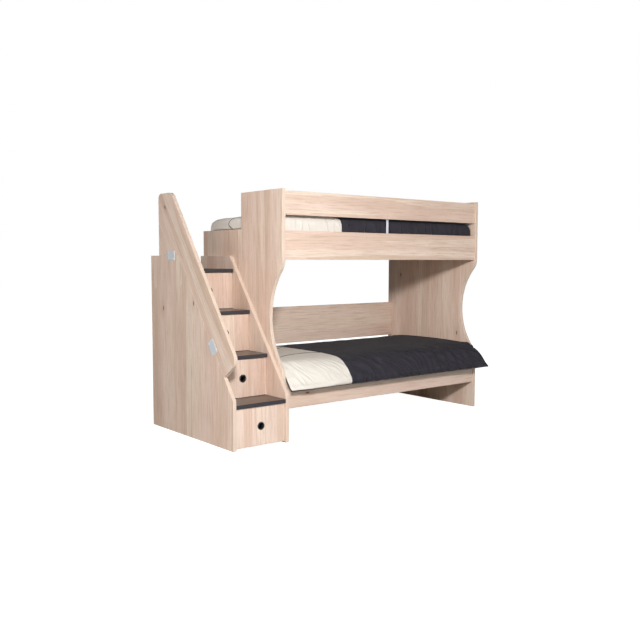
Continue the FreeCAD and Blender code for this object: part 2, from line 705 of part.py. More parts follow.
class Drawer:
    """One drawer's sizes: its front, the box behind it and the runners at its foot."""

    def __init__(self, step):
        self.front_y = nosing_y(step) + DRAWER_SETBACK
        self.back_of_front = self.front_y + DRAWER_FRONT_BOARD
        self.low_z = DRAWER_FLOOR_GAP if step == 0 else tread_top(step - 1) + DRAWER_REVEAL
        self.high_z = tread_top(step) - TREAD_BOARD - DRAWER_REVEAL
        self.left = stair_in_left + RUNNER_ROOM
        self.right = stair_in_right - RUNNER_ROOM
        self.box_z = self.low_z + DRAWER_RAISE
        self.box_top = self.high_z - DRAWER_TOP_ROOM
        self.box_end = self.back_of_front + drawer_depth
        self.bottom_z = self.box_z + BOTTOM_RAISE
        self.pull = V(stair_middle_x, self.front_y, (self.low_z + self.high_z) / 2)
        self.channel_y = self.back_of_front + RUNNER_FRONT_GAP
        self.channel_z = self.box_z + CHANNEL_RAISE
        self.front_axle = (self.channel_y + ROLLER_END_INSET, self.channel_z + FRONT_ROLLER_LIFT)
        self.rear_axle = (self.box_end - ROLLER_END_INSET, self.channel_z)

    def groove(self):
        """The slot that the drawer bottom slides into, round three sides."""
        reach = DRAWER_BOARD - GROOVE_DEPTH
        return block(
            self.left + reach,
            self.right - reach,
            self.back_of_front - GROOVE_DEPTH,
            self.box_end + CUT_OVERRUN,
            self.bottom_z - GROOVE_FIT,
            self.bottom_z + BOTTOM_THICKNESS + GROOVE_FIT,
        )

    def front(self):
        slab = board(
            stair_in_left + DRAWER_REVEAL,
            stair_in_right - DRAWER_REVEAL,
            self.front_y,
            self.back_of_front,
            self.low_z,
            self.high_z,
        )
        hole_start = self.pull - ALONG_Y * CUT_OVERRUN
        hole = rod(hole_start, ALONG_Y, PULL_HOLE_RADIUS, DRAWER_FRONT_BOARD + 2 * CUT_OVERRUN)
        return slab.cut(hole).cut(self.groove())

    def box(self):
        """Two grooved sides, the back between them and the bottom in the grooves."""
        groove = self.groove()
        y0 = self.back_of_front
        y1 = self.box_end
        left = block(self.left, self.left + DRAWER_BOARD, y0, y1, self.box_z, self.box_top)
        right = block(self.right - DRAWER_BOARD, self.right, y0, y1, self.box_z, self.box_top)
        back = block(
            self.left + DRAWER_BOARD,
            self.right - DRAWER_BOARD,
            y1 - DRAWER_BOARD,
            y1,
            self.bottom_z + BOTTOM_THICKNESS + GROOVE_FIT,
            self.box_top,
        )
        reach = DRAWER_BOARD - GROOVE_DEPTH + GROOVE_FIT
        bottom = block(
            self.left + reach,
            self.right - reach,
            self.back_of_front - GROOVE_DEPTH + GROOVE_FIT,
            y1,
            self.bottom_z,
            self.bottom_z + BOTTOM_THICKNESS,
        )
        return [left.cut(groove), right.cut(groove), back, bottom]

    def pull_ring(self):
        """A flanged ring, turned about the hole's axis."""
        depth = DRAWER_FRONT_BOARD
        face = -PULL_FLANGE_HEIGHT
        sleeve = PULL_HOLE_RADIUS - PULL_FIT
        rim = PULL_FLANGE_RADIUS
        bore = PULL_BORE_RADIUS
        section = [
            V(bore, depth, 0),
            V(sleeve, depth, 0),
            V(sleeve, 0, 0),
            V(rim, 0, 0),
            V(rim, face + PULL_LIP, 0),
            V(rim - PULL_LIP, face, 0),
            V(bore + PULL_LIP, face, 0),
            V(bore, face + PULL_LIP, 0),
        ]
        outline = Part.makePolygon(section + section[:1])
        ring = Part.Face(outline).revolve(V(0, 0, 0), ALONG_Y, 360)
        ring.translate(self.pull)
        return ring

    def side_x(self, side, depth):
        """The x of a point that stands this far in from the stair side's face."""
        return stair_in_left + depth if side == 0 else stair_in_right - depth

    def slab(self, side, depths, y0, y1, z0, z1):
        xs = sorted(self.side_x(side, d) for d in depths)
        return block(xs[0], xs[1], y0, y1, z0, z1)

    def axle_rod(self, side, axle, depths, radius):
        xs = sorted(self.side_x(side, d) for d in depths)
        return rod(V(xs[0], *axle), ALONG_X, radius, xs[1] - xs[0])

    def channel(self, side):
        """The fixed runner: a channel on the stair side with a roller pin at its mouth."""
        y0 = self.channel_y
        y1 = self.box_end - RUNNER_END_GAP
        half = CHANNEL_INSIDE / 2
        low = self.channel_z - half - RUNNER_SHEET
        high = self.channel_z + half + RUNNER_SHEET
        lip = RUNNER_SHEET + CHANNEL_LIP
        web = self.slab(side, (0, RUNNER_SHEET), y0, y1, low, high)
        lower = self.slab(side, (0, lip), y0, y1, low, low + RUNNER_SHEET)
        upper = self.slab(side, (0, lip), y0 + CHANNEL_MOUTH, y1, high - RUNNER_SHEET, high)
        pin_end = RUNNER_SHEET + ROLLER_WIDTH + 2 * ROLLER_GAP
        head_end = pin_end + PIN_HEAD_HEIGHT
        pin = self.axle_rod(side, self.front_axle, (0, pin_end), PIN_RADIUS)
        head = self.axle_rod(side, self.front_axle, (pin_end, head_end), PIN_HEAD_RADIUS)
        return web.multiFuse([lower, upper, pin, head]).removeSplitter()

    def strip(self, side):
        """The moving runner: a strip on the drawer side with a track and a rear pin."""
        outer = RUNNER_ROOM - STRIP_GAP
        face = outer - RUNNER_SHEET
        y0 = self.back_of_front + RUNNER_FRONT_GAP
        y1 = self.box_end
        flange = self.slab(side, (face, outer), y0, y1, self.box_z, self.box_z + STRIP_HEIGHT)
        track_z = self.front_axle[1] + ROLLER_RADIUS + ROLLER_GAP
        track = self.slab(side, (TRACK_CLEAR, face), y0, y1, track_z, track_z + RUNNER_SHEET)
        pin_end = face - ROLLER_WIDTH - 2 * ROLLER_GAP
        head_end = pin_end - PIN_HEAD_HEIGHT
        pin = self.axle_rod(side, self.rear_axle, (pin_end, face), PIN_RADIUS)
        head = self.axle_rod(side, self.rear_axle, (head_end, pin_end), PIN_HEAD_RADIUS)
        return flange.multiFuse([track, pin, head]).removeSplitter()

    def roller(self, side, axle, near):
        depths = (near, near + ROLLER_WIDTH)
        wheel = self.axle_rod(side, axle, depths, ROLLER_RADIUS)
        bore = self.axle_rod(side, axle, depths, PIN_RADIUS + ROLLER_BORE_FIT)
        return wheel.cut(bore)

    def front_rollers(self):
        near = RUNNER_SHEET + ROLLER_GAP
        return [self.roller(side, self.front_axle, near) for side in (0, 1)]

    def rear_rollers(self):
        near = RUNNER_ROOM - STRIP_GAP - RUNNER_SHEET - ROLLER_GAP - ROLLER_WIDTH
        return [self.roller(side, self.rear_axle, near) for side in (0, 1)]


def build():
    nodes = {}
    fittings = Fittings()
    front_left, rear_left, front_right, rear_right = [], [], [], []
    outer_bores, inner_bores = [], []
    right_x = bed_length - BOARD
    front_y = RAIL_SETBACK
    back_y = back_inner_y
    front_rails = (
        ("front_guard_rail", guard_z, GUARD_HEIGHT),
        ("upper_front_rail", upper_rail_z, RAIL_HEIGHT),
        ("lower_front_rail", LOWER_RAIL_Z, RAIL_HEIGHT),
    )
    back_rails = (
        ("upper_back_rail", upper_rail_z, RAIL_HEIGHT),
        ("lower_back_rail", LOWER_RAIL_Z, RAIL_HEIGHT),
        ("lower_back_board", BACK_BOARD_Z, BACK_BOARD_HEIGHT),
    )
    for name, z, height in front_rails:
        nodes[name] = long_rail(front_y, z, height, fittings, front_left, front_right)
    for name, z, height in back_rails:
        nodes[name] = long_rail(back_y, z, height, fittings, rear_left, rear_right)

    strap_seats = strap_screw_points()
    strap_bores = [screw_bore(p, ALONG_Y) for p in strap_seats]
    nodes["guard_strap"] = bored(guard_strap(), strap_bores)
    for name in ("front_guard_rail", "upper_front_rail"):
        nodes[name] = bored(nodes[name], strap_bores)
    nodes["strap_screws"] = [screw(p, ALONG_Y) for p in strap_seats]

    nodes["slat_bearers"] = bearers(upper_rail_z) + bearers(LOWER_RAIL_Z)
    nodes["end_cleats"] = cleats(upper_rail_z) + cleats(LOWER_RAIL_Z)
    nodes["upper_slats"] = slats(upper_rail_z)
    nodes["lower_slats"] = slats(LOWER_RAIL_Z)
    nodes["upper_mattress"] = mattress(upper_mattress_z)
    nodes["lower_mattress"] = mattress(lower_mattress_z)
    nodes["upper_duvet"] = upper_duvet()
    nodes["lower_duvet"] = lower_duvet()

    for step in range(TREAD_COUNT):
        nodes[f"tread_{step + 1}"] = tread(step, fittings, outer_bores, inner_bores)
    nodes["stair_back_panel"] = block(
        stair_in_left,
        stair_in_right,
        bed_depth - STAIR_BACK_BOARD,
        bed_depth,
        0,
        landing_z - TREAD_BOARD,
    )
    plates = []
    plate_seats = []
    plate_places = (
        (upper_plate_y, side_top_z, 0),
        (LOWER_PLATE_Y, slope_z(LOWER_PLATE_Y), pitch),
    )
    for y, z, turn in plate_places:
        plate, seats = joining_plate(y, z, turn)
        plates.append(bored(plate, [screw_bore(p, -ALONG_X) for p in seats]))
        plate_seats += seats
    plate_bores = [screw_bore(p, -ALONG_X) for p in plate_seats]
    nodes["joining_plates"] = plates
    nodes["plate_screws"] = [screw(p, -ALONG_X) for p in plate_seats]

    bolts, tie_bores = tie_bolts()
    nodes["stair_tie_bolts"] = bolts
    side = upright_board(stair_side_outline(), -STAIR_WIDTH)
    nodes["stair_outer_side"] = bored(side, outer_bores + plate_bores)
    inner = upright_board(stair_side_outline(), -BOARD)
    nodes["stair_inner_side"] = bored(inner, inner_bores + tie_bores)
    handrail = upright_board(handrail_outline(), -STAIR_WIDTH)
    nodes["handrail_panel"] = bored(handrail, plate_bores)

    tall_left = upright_board(wave_outline(), 0)
    tall_right = upright_board(wave_outline(), right_x)
    nodes["left_front_end_panel"] = bored(tall_left, front_left + tie_bores)
    nodes["left_rear_end_panel"] = bored(low_end_board(0), rear_left + tie_bores)
    nodes["right_front_end_panel"] = bored(tall_right, front_right)
    nodes["right_rear_end_panel"] = bored(low_end_board(right_x), rear_right)
    nodes["cam_locks"] = fittings.cams
    nodes["cam_bolts"] = fittings.bolts

    channels = []
    for step in range(TREAD_COUNT):
        drawer = Drawer(step)
        name = f"drawer_{step + 1}"
        nodes[f"{name}_front"] = drawer.front()
        nodes[f"{name}_box"] = drawer.box()
        nodes[f"{name}_pull_ring"] = drawer.pull_ring()
        nodes[f"{name}_runner_strips"] = [drawer.strip(s) for s in (0, 1)]
        nodes[f"{name}_front_rollers"] = drawer.front_rollers()
        nodes[f"{name}_rear_rollers"] = drawer.rear_rollers()
        channels += [drawer.channel(s) for s in (0, 1)]
    nodes["runner_channels"] = channels
    return nodes


def save(nodes):
    os.makedirs("parts", exist_ok=True)
    for name, shape in nodes.items():
        solids = shape if isinstance(shape, list) else [shape]
        node = Part.makeCompound(solids)
        node.translate(origin_shift)
        for solid in node.Solids:
            assert solid.isValid() and solid.Volume > 0, name
        kept = node if len(node.Solids) > 1 else node.Solids[0]
        kept.exportStep(f"parts/{name}.step")
    print(len(nodes), "nodes")


save(build())
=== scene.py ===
# %% [markdown]
# Dressing a bunk bed with a storage staircase.
# The boards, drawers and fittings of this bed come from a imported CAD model, which stays fixed.
# This lesson gives each surface its finish, lays the bedding with a cloth simulation, sews the lines that a
# seamstress would sew, and sets up the studio.

# %% Load the fixed frame
import math

import bmesh
import bpy
import numpy as np
from mathutils import Matrix, Vector


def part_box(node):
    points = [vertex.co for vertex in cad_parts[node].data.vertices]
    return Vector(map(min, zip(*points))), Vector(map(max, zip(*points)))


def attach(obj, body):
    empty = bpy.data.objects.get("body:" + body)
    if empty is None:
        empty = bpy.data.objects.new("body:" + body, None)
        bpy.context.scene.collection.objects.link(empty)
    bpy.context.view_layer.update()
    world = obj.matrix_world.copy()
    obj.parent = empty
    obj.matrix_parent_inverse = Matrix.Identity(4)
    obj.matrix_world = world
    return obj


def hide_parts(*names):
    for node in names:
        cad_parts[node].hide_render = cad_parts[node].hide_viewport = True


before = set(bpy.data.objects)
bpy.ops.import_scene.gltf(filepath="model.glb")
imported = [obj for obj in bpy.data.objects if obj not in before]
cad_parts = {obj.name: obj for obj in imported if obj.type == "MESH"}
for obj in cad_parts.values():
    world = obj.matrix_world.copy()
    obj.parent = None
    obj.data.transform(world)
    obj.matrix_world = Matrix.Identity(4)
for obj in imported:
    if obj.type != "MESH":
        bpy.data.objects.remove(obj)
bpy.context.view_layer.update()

MM = 0.001

# %% [markdown]
# Sizes in this lesson are in millimetres from the foot of the bed's left front corner: x runs along the
# bed, y from front to back and z up. One function turns such a place into metres in the frame, so every
# value can be checked with a tape measure.

# %% A tape measure
bed_corner = Vector((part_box("left_front_end_panel")[0].x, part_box("left_front_end_panel")[0].y, 0.0))


def place(x, y, z):
    """A place on the bed, in millimetres from its left front foot, as a point of the frame."""
    return bed_corner + Vector((x, y, z)) * MM


def measure(point):
    """The other way round: a point of the frame in millimetres from the bed's left front foot."""
    return (Vector(point) - bed_corner) / MM


bed_length = measure(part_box("right_front_end_panel")[1]).x
print("bed corner", list(bed_corner), "bed length", round(bed_length, 1), "mm")

# %% [markdown]
# The photograph was taken from the front left, about 1.2 m above the floor, with a lens of normal length.
# These values were fitted to the corners of the boards.

# %% Camera
CAMERA_PLACE = (-2998.3, -4090.2, 1191.2)
CAMERA_YAW = 39.0
CAMERA_PITCH = -4.44
CAMERA_ROLL = 0.11
CAMERA_LENS = 43.82
CAMERA_SENSOR = 36.0
LEVEL_TURN = 90  # an unturned camera looks straight down

camera_data = bpy.data.cameras.new("studio_camera")
camera_data.lens = CAMERA_LENS
camera_data.sensor_width = CAMERA_SENSOR
camera = bpy.data.objects.new("studio_camera", camera_data)
bpy.context.scene.collection.objects.link(camera)
camera.matrix_world = (
    Matrix.Translation(place(*CAMERA_PLACE))
    @ Matrix.Rotation(math.radians(-CAMERA_YAW), 4, "Z")
    @ Matrix.Rotation(math.radians(LEVEL_TURN + CAMERA_PITCH), 4, "X")
    @ Matrix.Rotation(math.radians(CAMERA_ROLL), 4, "Z")
)
bpy.context.scene.camera = camera
print("camera", list(camera.location))

# %% [markdown]
# Shader trees are easier to read when one call makes one node. The helper below sets a node's properties,
# fills its inputs with values or links, and fills a colour ramp. Another function turns the sRGB hex
# colours that a designer writes into the linear values that the shader works with.

# %% Small helpers for shaders
FACTOR, FIRST, SECOND, MIXED = 0, 6, 7, 2  # sockets of a Mix node that mixes colours


def linear(hex_colour):
    """An sRGB hex colour as linear red, green, blue and alpha."""
    channels = [int(hex_colour[i:i + 2], 16) / 255 for i in (1, 3, 5)]
    return [c / 12.92 if c <= 0.04045 else ((c + 0.055) / 1.055) ** 2.4 for c in channels] + [1.0]


def add(tree, kind, inputs=None, stops=None, **settings):
    """Adds one node. Inputs are values or the sockets that feed them, stops fill a colour ramp."""
    node = tree.nodes.new(kind)
    for name, value in settings.items():
        setattr(node, name, value)
    for key, value in (inputs or {}).items():
        if isinstance(value, bpy.types.NodeSocket):
            tree.links.new(value, node.inputs[key])
        else:
            node.inputs[key].default_value = value
    for index, (position, colour) in enumerate(stops or []):
        elements = node.color_ramp.elements
        last = index == len(stops) - 1
        element = elements[0] if index == 0 else elements[-1] if last else elements.new(position)
        element.position = position
        element.color = linear(colour)
    return node


def new_finish(name, **values):
    """A new material with its node tree and its Principled shader, whose plain sockets are set here."""
    material = bpy.data.materials.new(name)
    material.use_nodes = True
    shader = material.node_tree.nodes["Principled BSDF"]
    for socket, value in values.items():
        shader.inputs[socket.replace("_", " ")].default_value = value
    return material, material.node_tree, shader


def feed(tree, shader, **sockets):
    """Links the ends of a tree to the shader's inputs of those names."""
    for name, socket in sockets.items():
        tree.links.new(socket, shader.inputs[name.replace("_", " ")])


print("helpers ready, white is", linear("#FFFFFF"), "in linear light")

# %% [markdown]
# The studio is white: a pale floor that runs out of sight under a white sky. Both look whiter to the camera
# than to the bed, as in a cut-out product photograph. The floor glows for camera rays only, and the sky gives
# the bed only a little light from all round. A floor as white as it looks would throw more light up at the
# boards.

# %% Floor and sky
FLOOR_SIZE = 60.0
FLOOR_LIFT = 0.96
SKY_LIGHT = 0.115
SKY_WHITE = 1.0

half_floor = FLOOR_SIZE / 2
floor_mesh = bpy.data.meshes.new("studio_floor")
floor_mesh.from_pydata([(side_x * half_floor, side_y * half_floor, 0.0)
                        for side_x, side_y in ((-1, -1), (1, -1), (1, 1), (-1, 1))], [], [(0, 1, 2, 3)])
floor = bpy.data.objects.new("studio_floor", floor_mesh)
bpy.context.scene.collection.objects.link(floor)

floor_paint, floor_tree, floor_shader = new_finish(
    "matt_grey_floor_paint", Base_Color=linear("#B8B7B5"), Roughness=0.85, Emission_Color=linear("#FFFFFF"))
floor_ray = add(floor_tree, "ShaderNodeLightPath")
floor_glow = add(floor_tree, "ShaderNodeMath", {0: floor_ray.outputs["Is Camera Ray"], 1: FLOOR_LIFT},
                 operation="MULTIPLY")
feed(floor_tree, floor_shader, Emission_Strength=floor_glow.outputs[0])
floor_mesh.materials.append(floor_paint)

world = bpy.data.worlds.new("studio_sky")
bpy.context.scene.world = world
world.use_nodes = True
sky = world.node_tree.nodes["Background"]
sky.inputs["Color"].default_value = linear("#FFFFFF")
sky_ray = add(world.node_tree, "ShaderNodeLightPath")
sky_strength = add(world.node_tree, "ShaderNodeMath", operation="MULTIPLY_ADD", inputs={
    0: sky_ray.outputs["Is Camera Ray"], 1: SKY_WHITE - SKY_LIGHT, 2: SKY_LIGHT})
feed(world.node_tree, sky, Strength=sky_strength.outputs[0])
print("floor", FLOOR_SIZE, "m wide, sky light", SKY_LIGHT)

# %% [markdown]
# A small key light stands near the bed at the front left and throws the shadows of the two front rails on
# the right end panel. The slopes of their edges gave its height and distance, and their sharpness its size. A
# soft light at the left serves the stair side, weak ones at the right and high in front soften the shadows,
# and one behind serves the other sides. That one isn't mirrored in glossy surfaces.

# %% Lights
AIM_DEPTH, AIM_HEIGHT = 430, 900
SOFTBOXES = {
    "key_softbox": {"spot": (-2300, -3400, 2340), "size": 0.42, "power": 188.0, "mirrored": True},
    "left_softbox": {"spot": (-4800, -1400, 1700), "size": 2.5, "power": 68.0, "mirrored": True},
    "right_softbox": {"spot": (3200, -5000, 1900), "size": 3.0, "power": 53.0, "mirrored": True},
    "front_softbox": {"spot": (600, -6500, 4500), "size": 4.0, "power": 54.0, "mirrored": True},
    "rear_softbox": {"spot": (5810, 7345, 4010), "size": 4.0, "power": 200.0, "mirrored": False},
}

bed_middle = place(bed_length / 2, AIM_DEPTH, AIM_HEIGHT)
for name, box in SOFTBOXES.items():
    light = bpy.data.lights.new(name, "AREA")
    light.size = box["size"]
    light.energy = box["power"]
    lamp = bpy.data.objects.new(name, light)
    lamp.visible_glossy = box["mirrored"]
    bpy.context.scene.collection.objects.link(lamp)
    spot = place(*box["spot"])
    aim = (bed_middle - spot).to_track_quat("-Z", "Y")
    lamp.matrix_world = Matrix.Translation(spot) @ aim.to_matrix().to_4x4()
    print(name, "is", round((bed_middle - spot).length, 2), "m from the bed's middle")
bpy.context.scene.view_settings.view_transform = "Standard"

# %% [markdown]
# The boards are chipboard with a printed paper of knotty beech sealed in melamine resin. An image texture
# would be the quick way; noise that is stretched along the grain gives the same look from any distance. The
# grain runs up the end panels and the drawer fronts, along the rails, and up the slope of the handrail, so
# the pattern is turned first. Only then is it given its size in millimetres along the grain and across it.

# %% Grain directions and pattern sizes
RIGHT_ANGLE = math.radians(90)
stair_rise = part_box("tread_2")[1].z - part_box("tread_1")[1].z
stair_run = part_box("tread_2")[0].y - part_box("tread_1")[0].y
stair_slope = math.atan2(stair_rise, stair_run)
GRAIN_TURNS = {
    "upright": (0.0, RIGHT_ANGLE, 0.0),
    "level": (0.0, 0.0, 0.0),
    "crosswise": (0.0, 0.0, -RIGHT_ANGLE),
    "sloping": (-stair_slope, 0.0, -RIGHT_ANGLE),
}


def pattern_scale(long, wide):
    """Scale of a pattern whose marks are so many millimetres long and wide."""
    return 1 / (long * MM), 1 / (wide * MM), 1 / (wide * MM)


print("handrail slope", round(math.degrees(stair_slope), 1), "degrees")

# %% [markdown]
# The eye gets strips a few fingers wide, pinkish beside yellowish beige, soft streaks, short dark flecks, and
# a knot here and there that the streaks flow round. The print lies on the face like paper, so the pattern is
# read in two directions only, and it jumps from one board to the next. Real fibres are far finer than a
# millimetre, too fine to show, so fibres and flecks are drawn about 2.5 mm wide.

# %% Marks of a printed grain
PAPER_STEP = 37  # thicker than a board, so a board has one cut of the paper
PAPER_SHIFT = (913, 577)
STRIP_SIZE = (1200, 46)
PRINT_SIZES = {"clouds": (900, 170), "streaks": (240, 10), "fibres": (110, 2.6), "flecks": (34, 2.4)}
PRINT_DETAIL = {"clouds": 2.0, "streaks": 2.0, "fibres": 3.0, "flecks": 1.0}
KNOT_CELL = (520, 210)
KNOT_CHANCE = 0.20
KNOT_REACHES = {"knot": (0.012, 0.045), "swirl": (0.0, 0.20)}  # shares of a knot's cell
SWIRL_WIDTH = 12


def knot_marks(tree, paper):
    """Dark cores and the swirls round them, in some of the cells that the paper is divided into."""
    where = add(tree, "ShaderNodeMapping", {"Vector": paper, "Scale": pattern_scale(*KNOT_CELL)})
    cell = add(tree, "ShaderNodeTexVoronoi", {"Vector": where.outputs[0], "Scale": 1.0},
               voronoi_dimensions="2D")
    chance = add(tree, "ShaderNodeSeparateColor", {0: cell.outputs["Color"]})
    kept = add(tree, "ShaderNodeMath", {0: chance.outputs[0], 1: 1 - KNOT_CHANCE}, operation="GREATER_THAN")
    marks = {}
    for mark, (core, rim) in KNOT_REACHES.items():
        near = add(tree, "ShaderNodeMapRange", interpolation_type="SMOOTHSTEP", inputs={
            0: cell.outputs["Distance"], 1: core, 2: rim, 3: 1.0, 4: 0.0})
        marks[mark] = add(tree, "ShaderNodeMath", {0: near.outputs[0], 1: kept.outputs[0]},
                          operation="MULTIPLY").outputs[0]
    return marks


def printed_grain(tree, grain, thin_axis, knots=True):
    """Nodes of a printed wood grain: strips, clouds, streaks, fibres and flecks that flow round the knots."""
    where = add(tree, "ShaderNodeTexCoord")
    board = add(tree, "ShaderNodeMapping", {
        "Vector": where.outputs["Object"], "Rotation": GRAIN_TURNS[grain]})
    axes = add(tree, "ShaderNodeSeparateXYZ", {0: board.outputs[0]})
    depth = add(tree, "ShaderNodeMath", {0: axes.outputs[thin_axis], 1: PAPER_STEP * MM}, operation="DIVIDE")
    layer = add(tree, "ShaderNodeMath", {0: depth.outputs[0]}, operation="FLOOR")
    across = "Z" if thin_axis == "Y" else "Y"
    moved = [add(tree, "ShaderNodeMath", operation="MULTIPLY_ADD", inputs={
        0: layer.outputs[0], 1: shift * MM, 2: axes.outputs[axis]})
        for shift, axis in zip(PAPER_SHIFT, ("X", across))]
    paper = add(tree, "ShaderNodeCombineXYZ", {
        "X": moved[0].outputs[0], "Y": moved[1].outputs[0]}).outputs[0]
    marks = {"where": where}
    if knots:
        marks |= knot_marks(tree, paper)
        push = add(tree, "ShaderNodeVectorMath", operation="SCALE", inputs={
            0: (0.0, SWIRL_WIDTH * MM, 0.0), "Scale": marks["swirl"]})
        paper = add(tree, "ShaderNodeVectorMath", {0: paper, 1: push.outputs[0]}, operation="ADD").outputs[0]
    strip_place = add(tree, "ShaderNodeMapping", {"Vector": paper, "Scale": pattern_scale(*STRIP_SIZE)})
    strip = add(tree, "ShaderNodeTexVoronoi", {"Vector": strip_place.outputs[0], "Scale": 1.0},
                voronoi_dimensions="2D")
    marks["strips"] = add(tree, "ShaderNodeSeparateColor", {0: strip.outputs["Color"]}).outputs[0]
    for mark, size in PRINT_SIZES.items():
        mark_place = add(tree, "ShaderNodeMapping", {"Vector": paper, "Scale": pattern_scale(*size)})
        marks[mark] = add(tree, "ShaderNodeTexNoise", {
            "Vector": mark_place.outputs[0], "Scale": 1.0, "Detail": PRINT_DETAIL[mark]}).outputs["Fac"]
    return marks


print("print marks", ["strips", *PRINT_SIZES, *KNOT_REACHES])

# %% [markdown]
# Each mark tints the ground colour of the strips where it is strong. The surface is satin, without pores. The
# cut edges carry a creamy plastic band, which is found by the direction that a face looks in, because a board
# shows its print on two faces only.

# %% Beech-look melamine board
BEECH_STRIPS = [(0.0, "#DCC0AD"), (0.3, "#E8D0C1"), (0.55, "#E9D6C4"), (0.8, "#E3C8B7"), (1.0, "#D8C0AB")]
BEECH_TINTS = {
    "clouds": ("#CDAE9C", (0.48, 0.72), 0.5),
    "streaks": ("#B5917A", (0.50, 0.76), 0.54),
    "fibres": ("#AF8E78", (0.45, 0.75), 0.34),
    "flecks": ("#8E6E5B", (0.66, 0.74), 0.40),
    "swirl": ("#B48D76", (0.0, 1.0), 0.30),
    "knot": ("#5E4437", (0.0, 1.0), 0.85),
}
EDGE_BAND = [(0.3, "#DFCBBA"), (0.7, "#D7C1AE")]
BAND_FACING = (0.55, 0.75)
FIBRE_RANGE = (0.3, 0.7)
SATIN_ROUGHNESS = (0.46, 0.60)
PRINT_RELIEF, PRINT_RELIEF_DEPTH = 0.2, 0.4


def tinted(tree, colour, tint, mark, reach, amount):
    """Mixes a tint into a colour where a mark rises through a reach, by a largest amount."""
    share = add(tree, "ShaderNodeMapRange", {0: mark, 1: reach[0], 2: reach[1], 3: 0.0, 4: amount})
    return add(tree, "ShaderNodeMix", data_type="RGBA", inputs={
        FACTOR: share.outputs[0], FIRST: colour, SECOND: linear(tint)}).outputs[MIXED]


def printed(tree, ground, marks, tints):
    """The colour of a print: a ground, and over it a tint for each mark."""
    for mark, (tint, reach, amount) in tints.items():
        ground = tinted(tree, ground, tint, marks[mark], reach, amount)
    return ground


def edge_band(tree, where, face_axis):
    """One on the cut edges of a board, zero on its two faces."""
    looks = add(tree, "ShaderNodeSeparateXYZ", {0: where.outputs["Normal"]})
    facing = add(tree, "ShaderNodeMath", {0: looks.outputs[face_axis]}, operation="ABSOLUTE")
    return add(tree, "ShaderNodeMapRange", {
        0: facing.outputs[0], 1: BAND_FACING[0], 2: BAND_FACING[1], 3: 1.0, 4: 0.0}).outputs[0]


def beech_melamine(name, grain, face_axis, thin_axis):
    """Knotty beech print under satin melamine, with a creamy band on the edges between its two faces."""
    material, tree, shader = new_finish(name, IOR=1.5, Specular_IOR_Level=0.4)
    marks = printed_grain(tree, grain, thin_axis)
    ground = add(tree, "ShaderNodeValToRGB", {0: marks["strips"]}, BEECH_STRIPS)
    colour = printed(tree, ground.outputs[0], marks, BEECH_TINTS)
    band_tone = add(tree, "ShaderNodeValToRGB", {0: marks["fibres"]}, EDGE_BAND)
    banded = add(tree, "ShaderNodeMix", data_type="RGBA", inputs={
        FACTOR: edge_band(tree, marks["where"], face_axis), FIRST: colour, SECOND: band_tone.outputs[0]})
    satin = add(tree, "ShaderNodeMapRange", {
        0: marks["fibres"], 1: FIBRE_RANGE[0], 2: FIBRE_RANGE[1],
        3: SATIN_ROUGHNESS[0], 4: SATIN_ROUGHNESS[1]})
    relief = add(tree, "ShaderNodeBump", {
        "Height": marks["fibres"], "Strength": PRINT_RELIEF, "Distance": PRINT_RELIEF_DEPTH * MM})
    feed(tree, shader, Base_Color=banded.outputs[MIXED], Roughness=satin.outputs[0], Normal=relief.outputs[0])
    return material


beech_upright = beech_melamine("beech_melamine_upright", "upright", "X", "Z")
beech_fronts = beech_melamine("beech_melamine_fronts", "upright", "Y", "Y")
beech_level = beech_melamine("beech_melamine_level", "level", "Y", "Y")
beech_sloping = beech_melamine("beech_melamine_sloping", "sloping", "X", "Y")
print("board finishes", [m.name for m in (beech_upright, beech_fronts, beech_level, beech_sloping)])

# %% [markdown]
# The treads are the one dark wood: a walnut-look laminate that is smoother than the boards, so at the low
# angle of the photograph it mirrors the drawer above it, and a charcoal band round its edge. Slats and
# bearers are planed spruce, creamy yellow with close grain lines. Both reuse the marks of the printed grain.

# %% Tread laminate and softwood
WALNUT_STRIPS = [(0.0, "#493830"), (0.5, "#56443A"), (1.0, "#624D42")]
WALNUT_TINTS = {"streaks": ("#33261F", (0.45, 0.75), 0.6), "flecks": ("#2B201A", (0.62, 0.72), 0.5)}
TREAD_BAND = "#353238"
TREAD_ROUGHNESS, TREAD_BAND_ROUGHNESS = 0.28, 0.5
TREAD_RELIEF, TREAD_RELIEF_DEPTH = 0.15, 0.3
SPRUCE_LINES = [(0.32, "#EAD3A6"), (0.50, "#E0C190"), (0.68, "#C9A16C")]
SPRUCE_TINTS = {"knot": ("#7A5230", (0.0, 1.0), 1.0)}
PLANED_RELIEF, PLANED_RELIEF_DEPTH = 0.3, 0.5


def walnut_laminate(name):
    """Dark walnut print under a hard laminate, with a charcoal plastic band on the edges."""
    material, tree, shader = new_finish(name, IOR=1.5)
    marks = printed_grain(tree, "level", "Z", knots=False)
    ground = add(tree, "ShaderNodeValToRGB", {0: marks["strips"]}, WALNUT_STRIPS)
    colour = printed(tree, ground.outputs[0], marks, WALNUT_TINTS)
    band = edge_band(tree, marks["where"], "Z")
    banded = add(tree, "ShaderNodeMix", data_type="RGBA", inputs={
        FACTOR: band, FIRST: colour, SECOND: linear(TREAD_BAND)})
    gloss = add(tree, "ShaderNodeMapRange", {
        0: band, 1: 0.0, 2: 1.0, 3: TREAD_ROUGHNESS, 4: TREAD_BAND_ROUGHNESS})
    relief = add(tree, "ShaderNodeBump", {
        "Height": marks["fibres"], "Strength": TREAD_RELIEF, "Distance": TREAD_RELIEF_DEPTH * MM})
    feed(tree, shader, Base_Color=banded.outputs[MIXED], Roughness=gloss.outputs[0], Normal=relief.outputs[0])
    return material


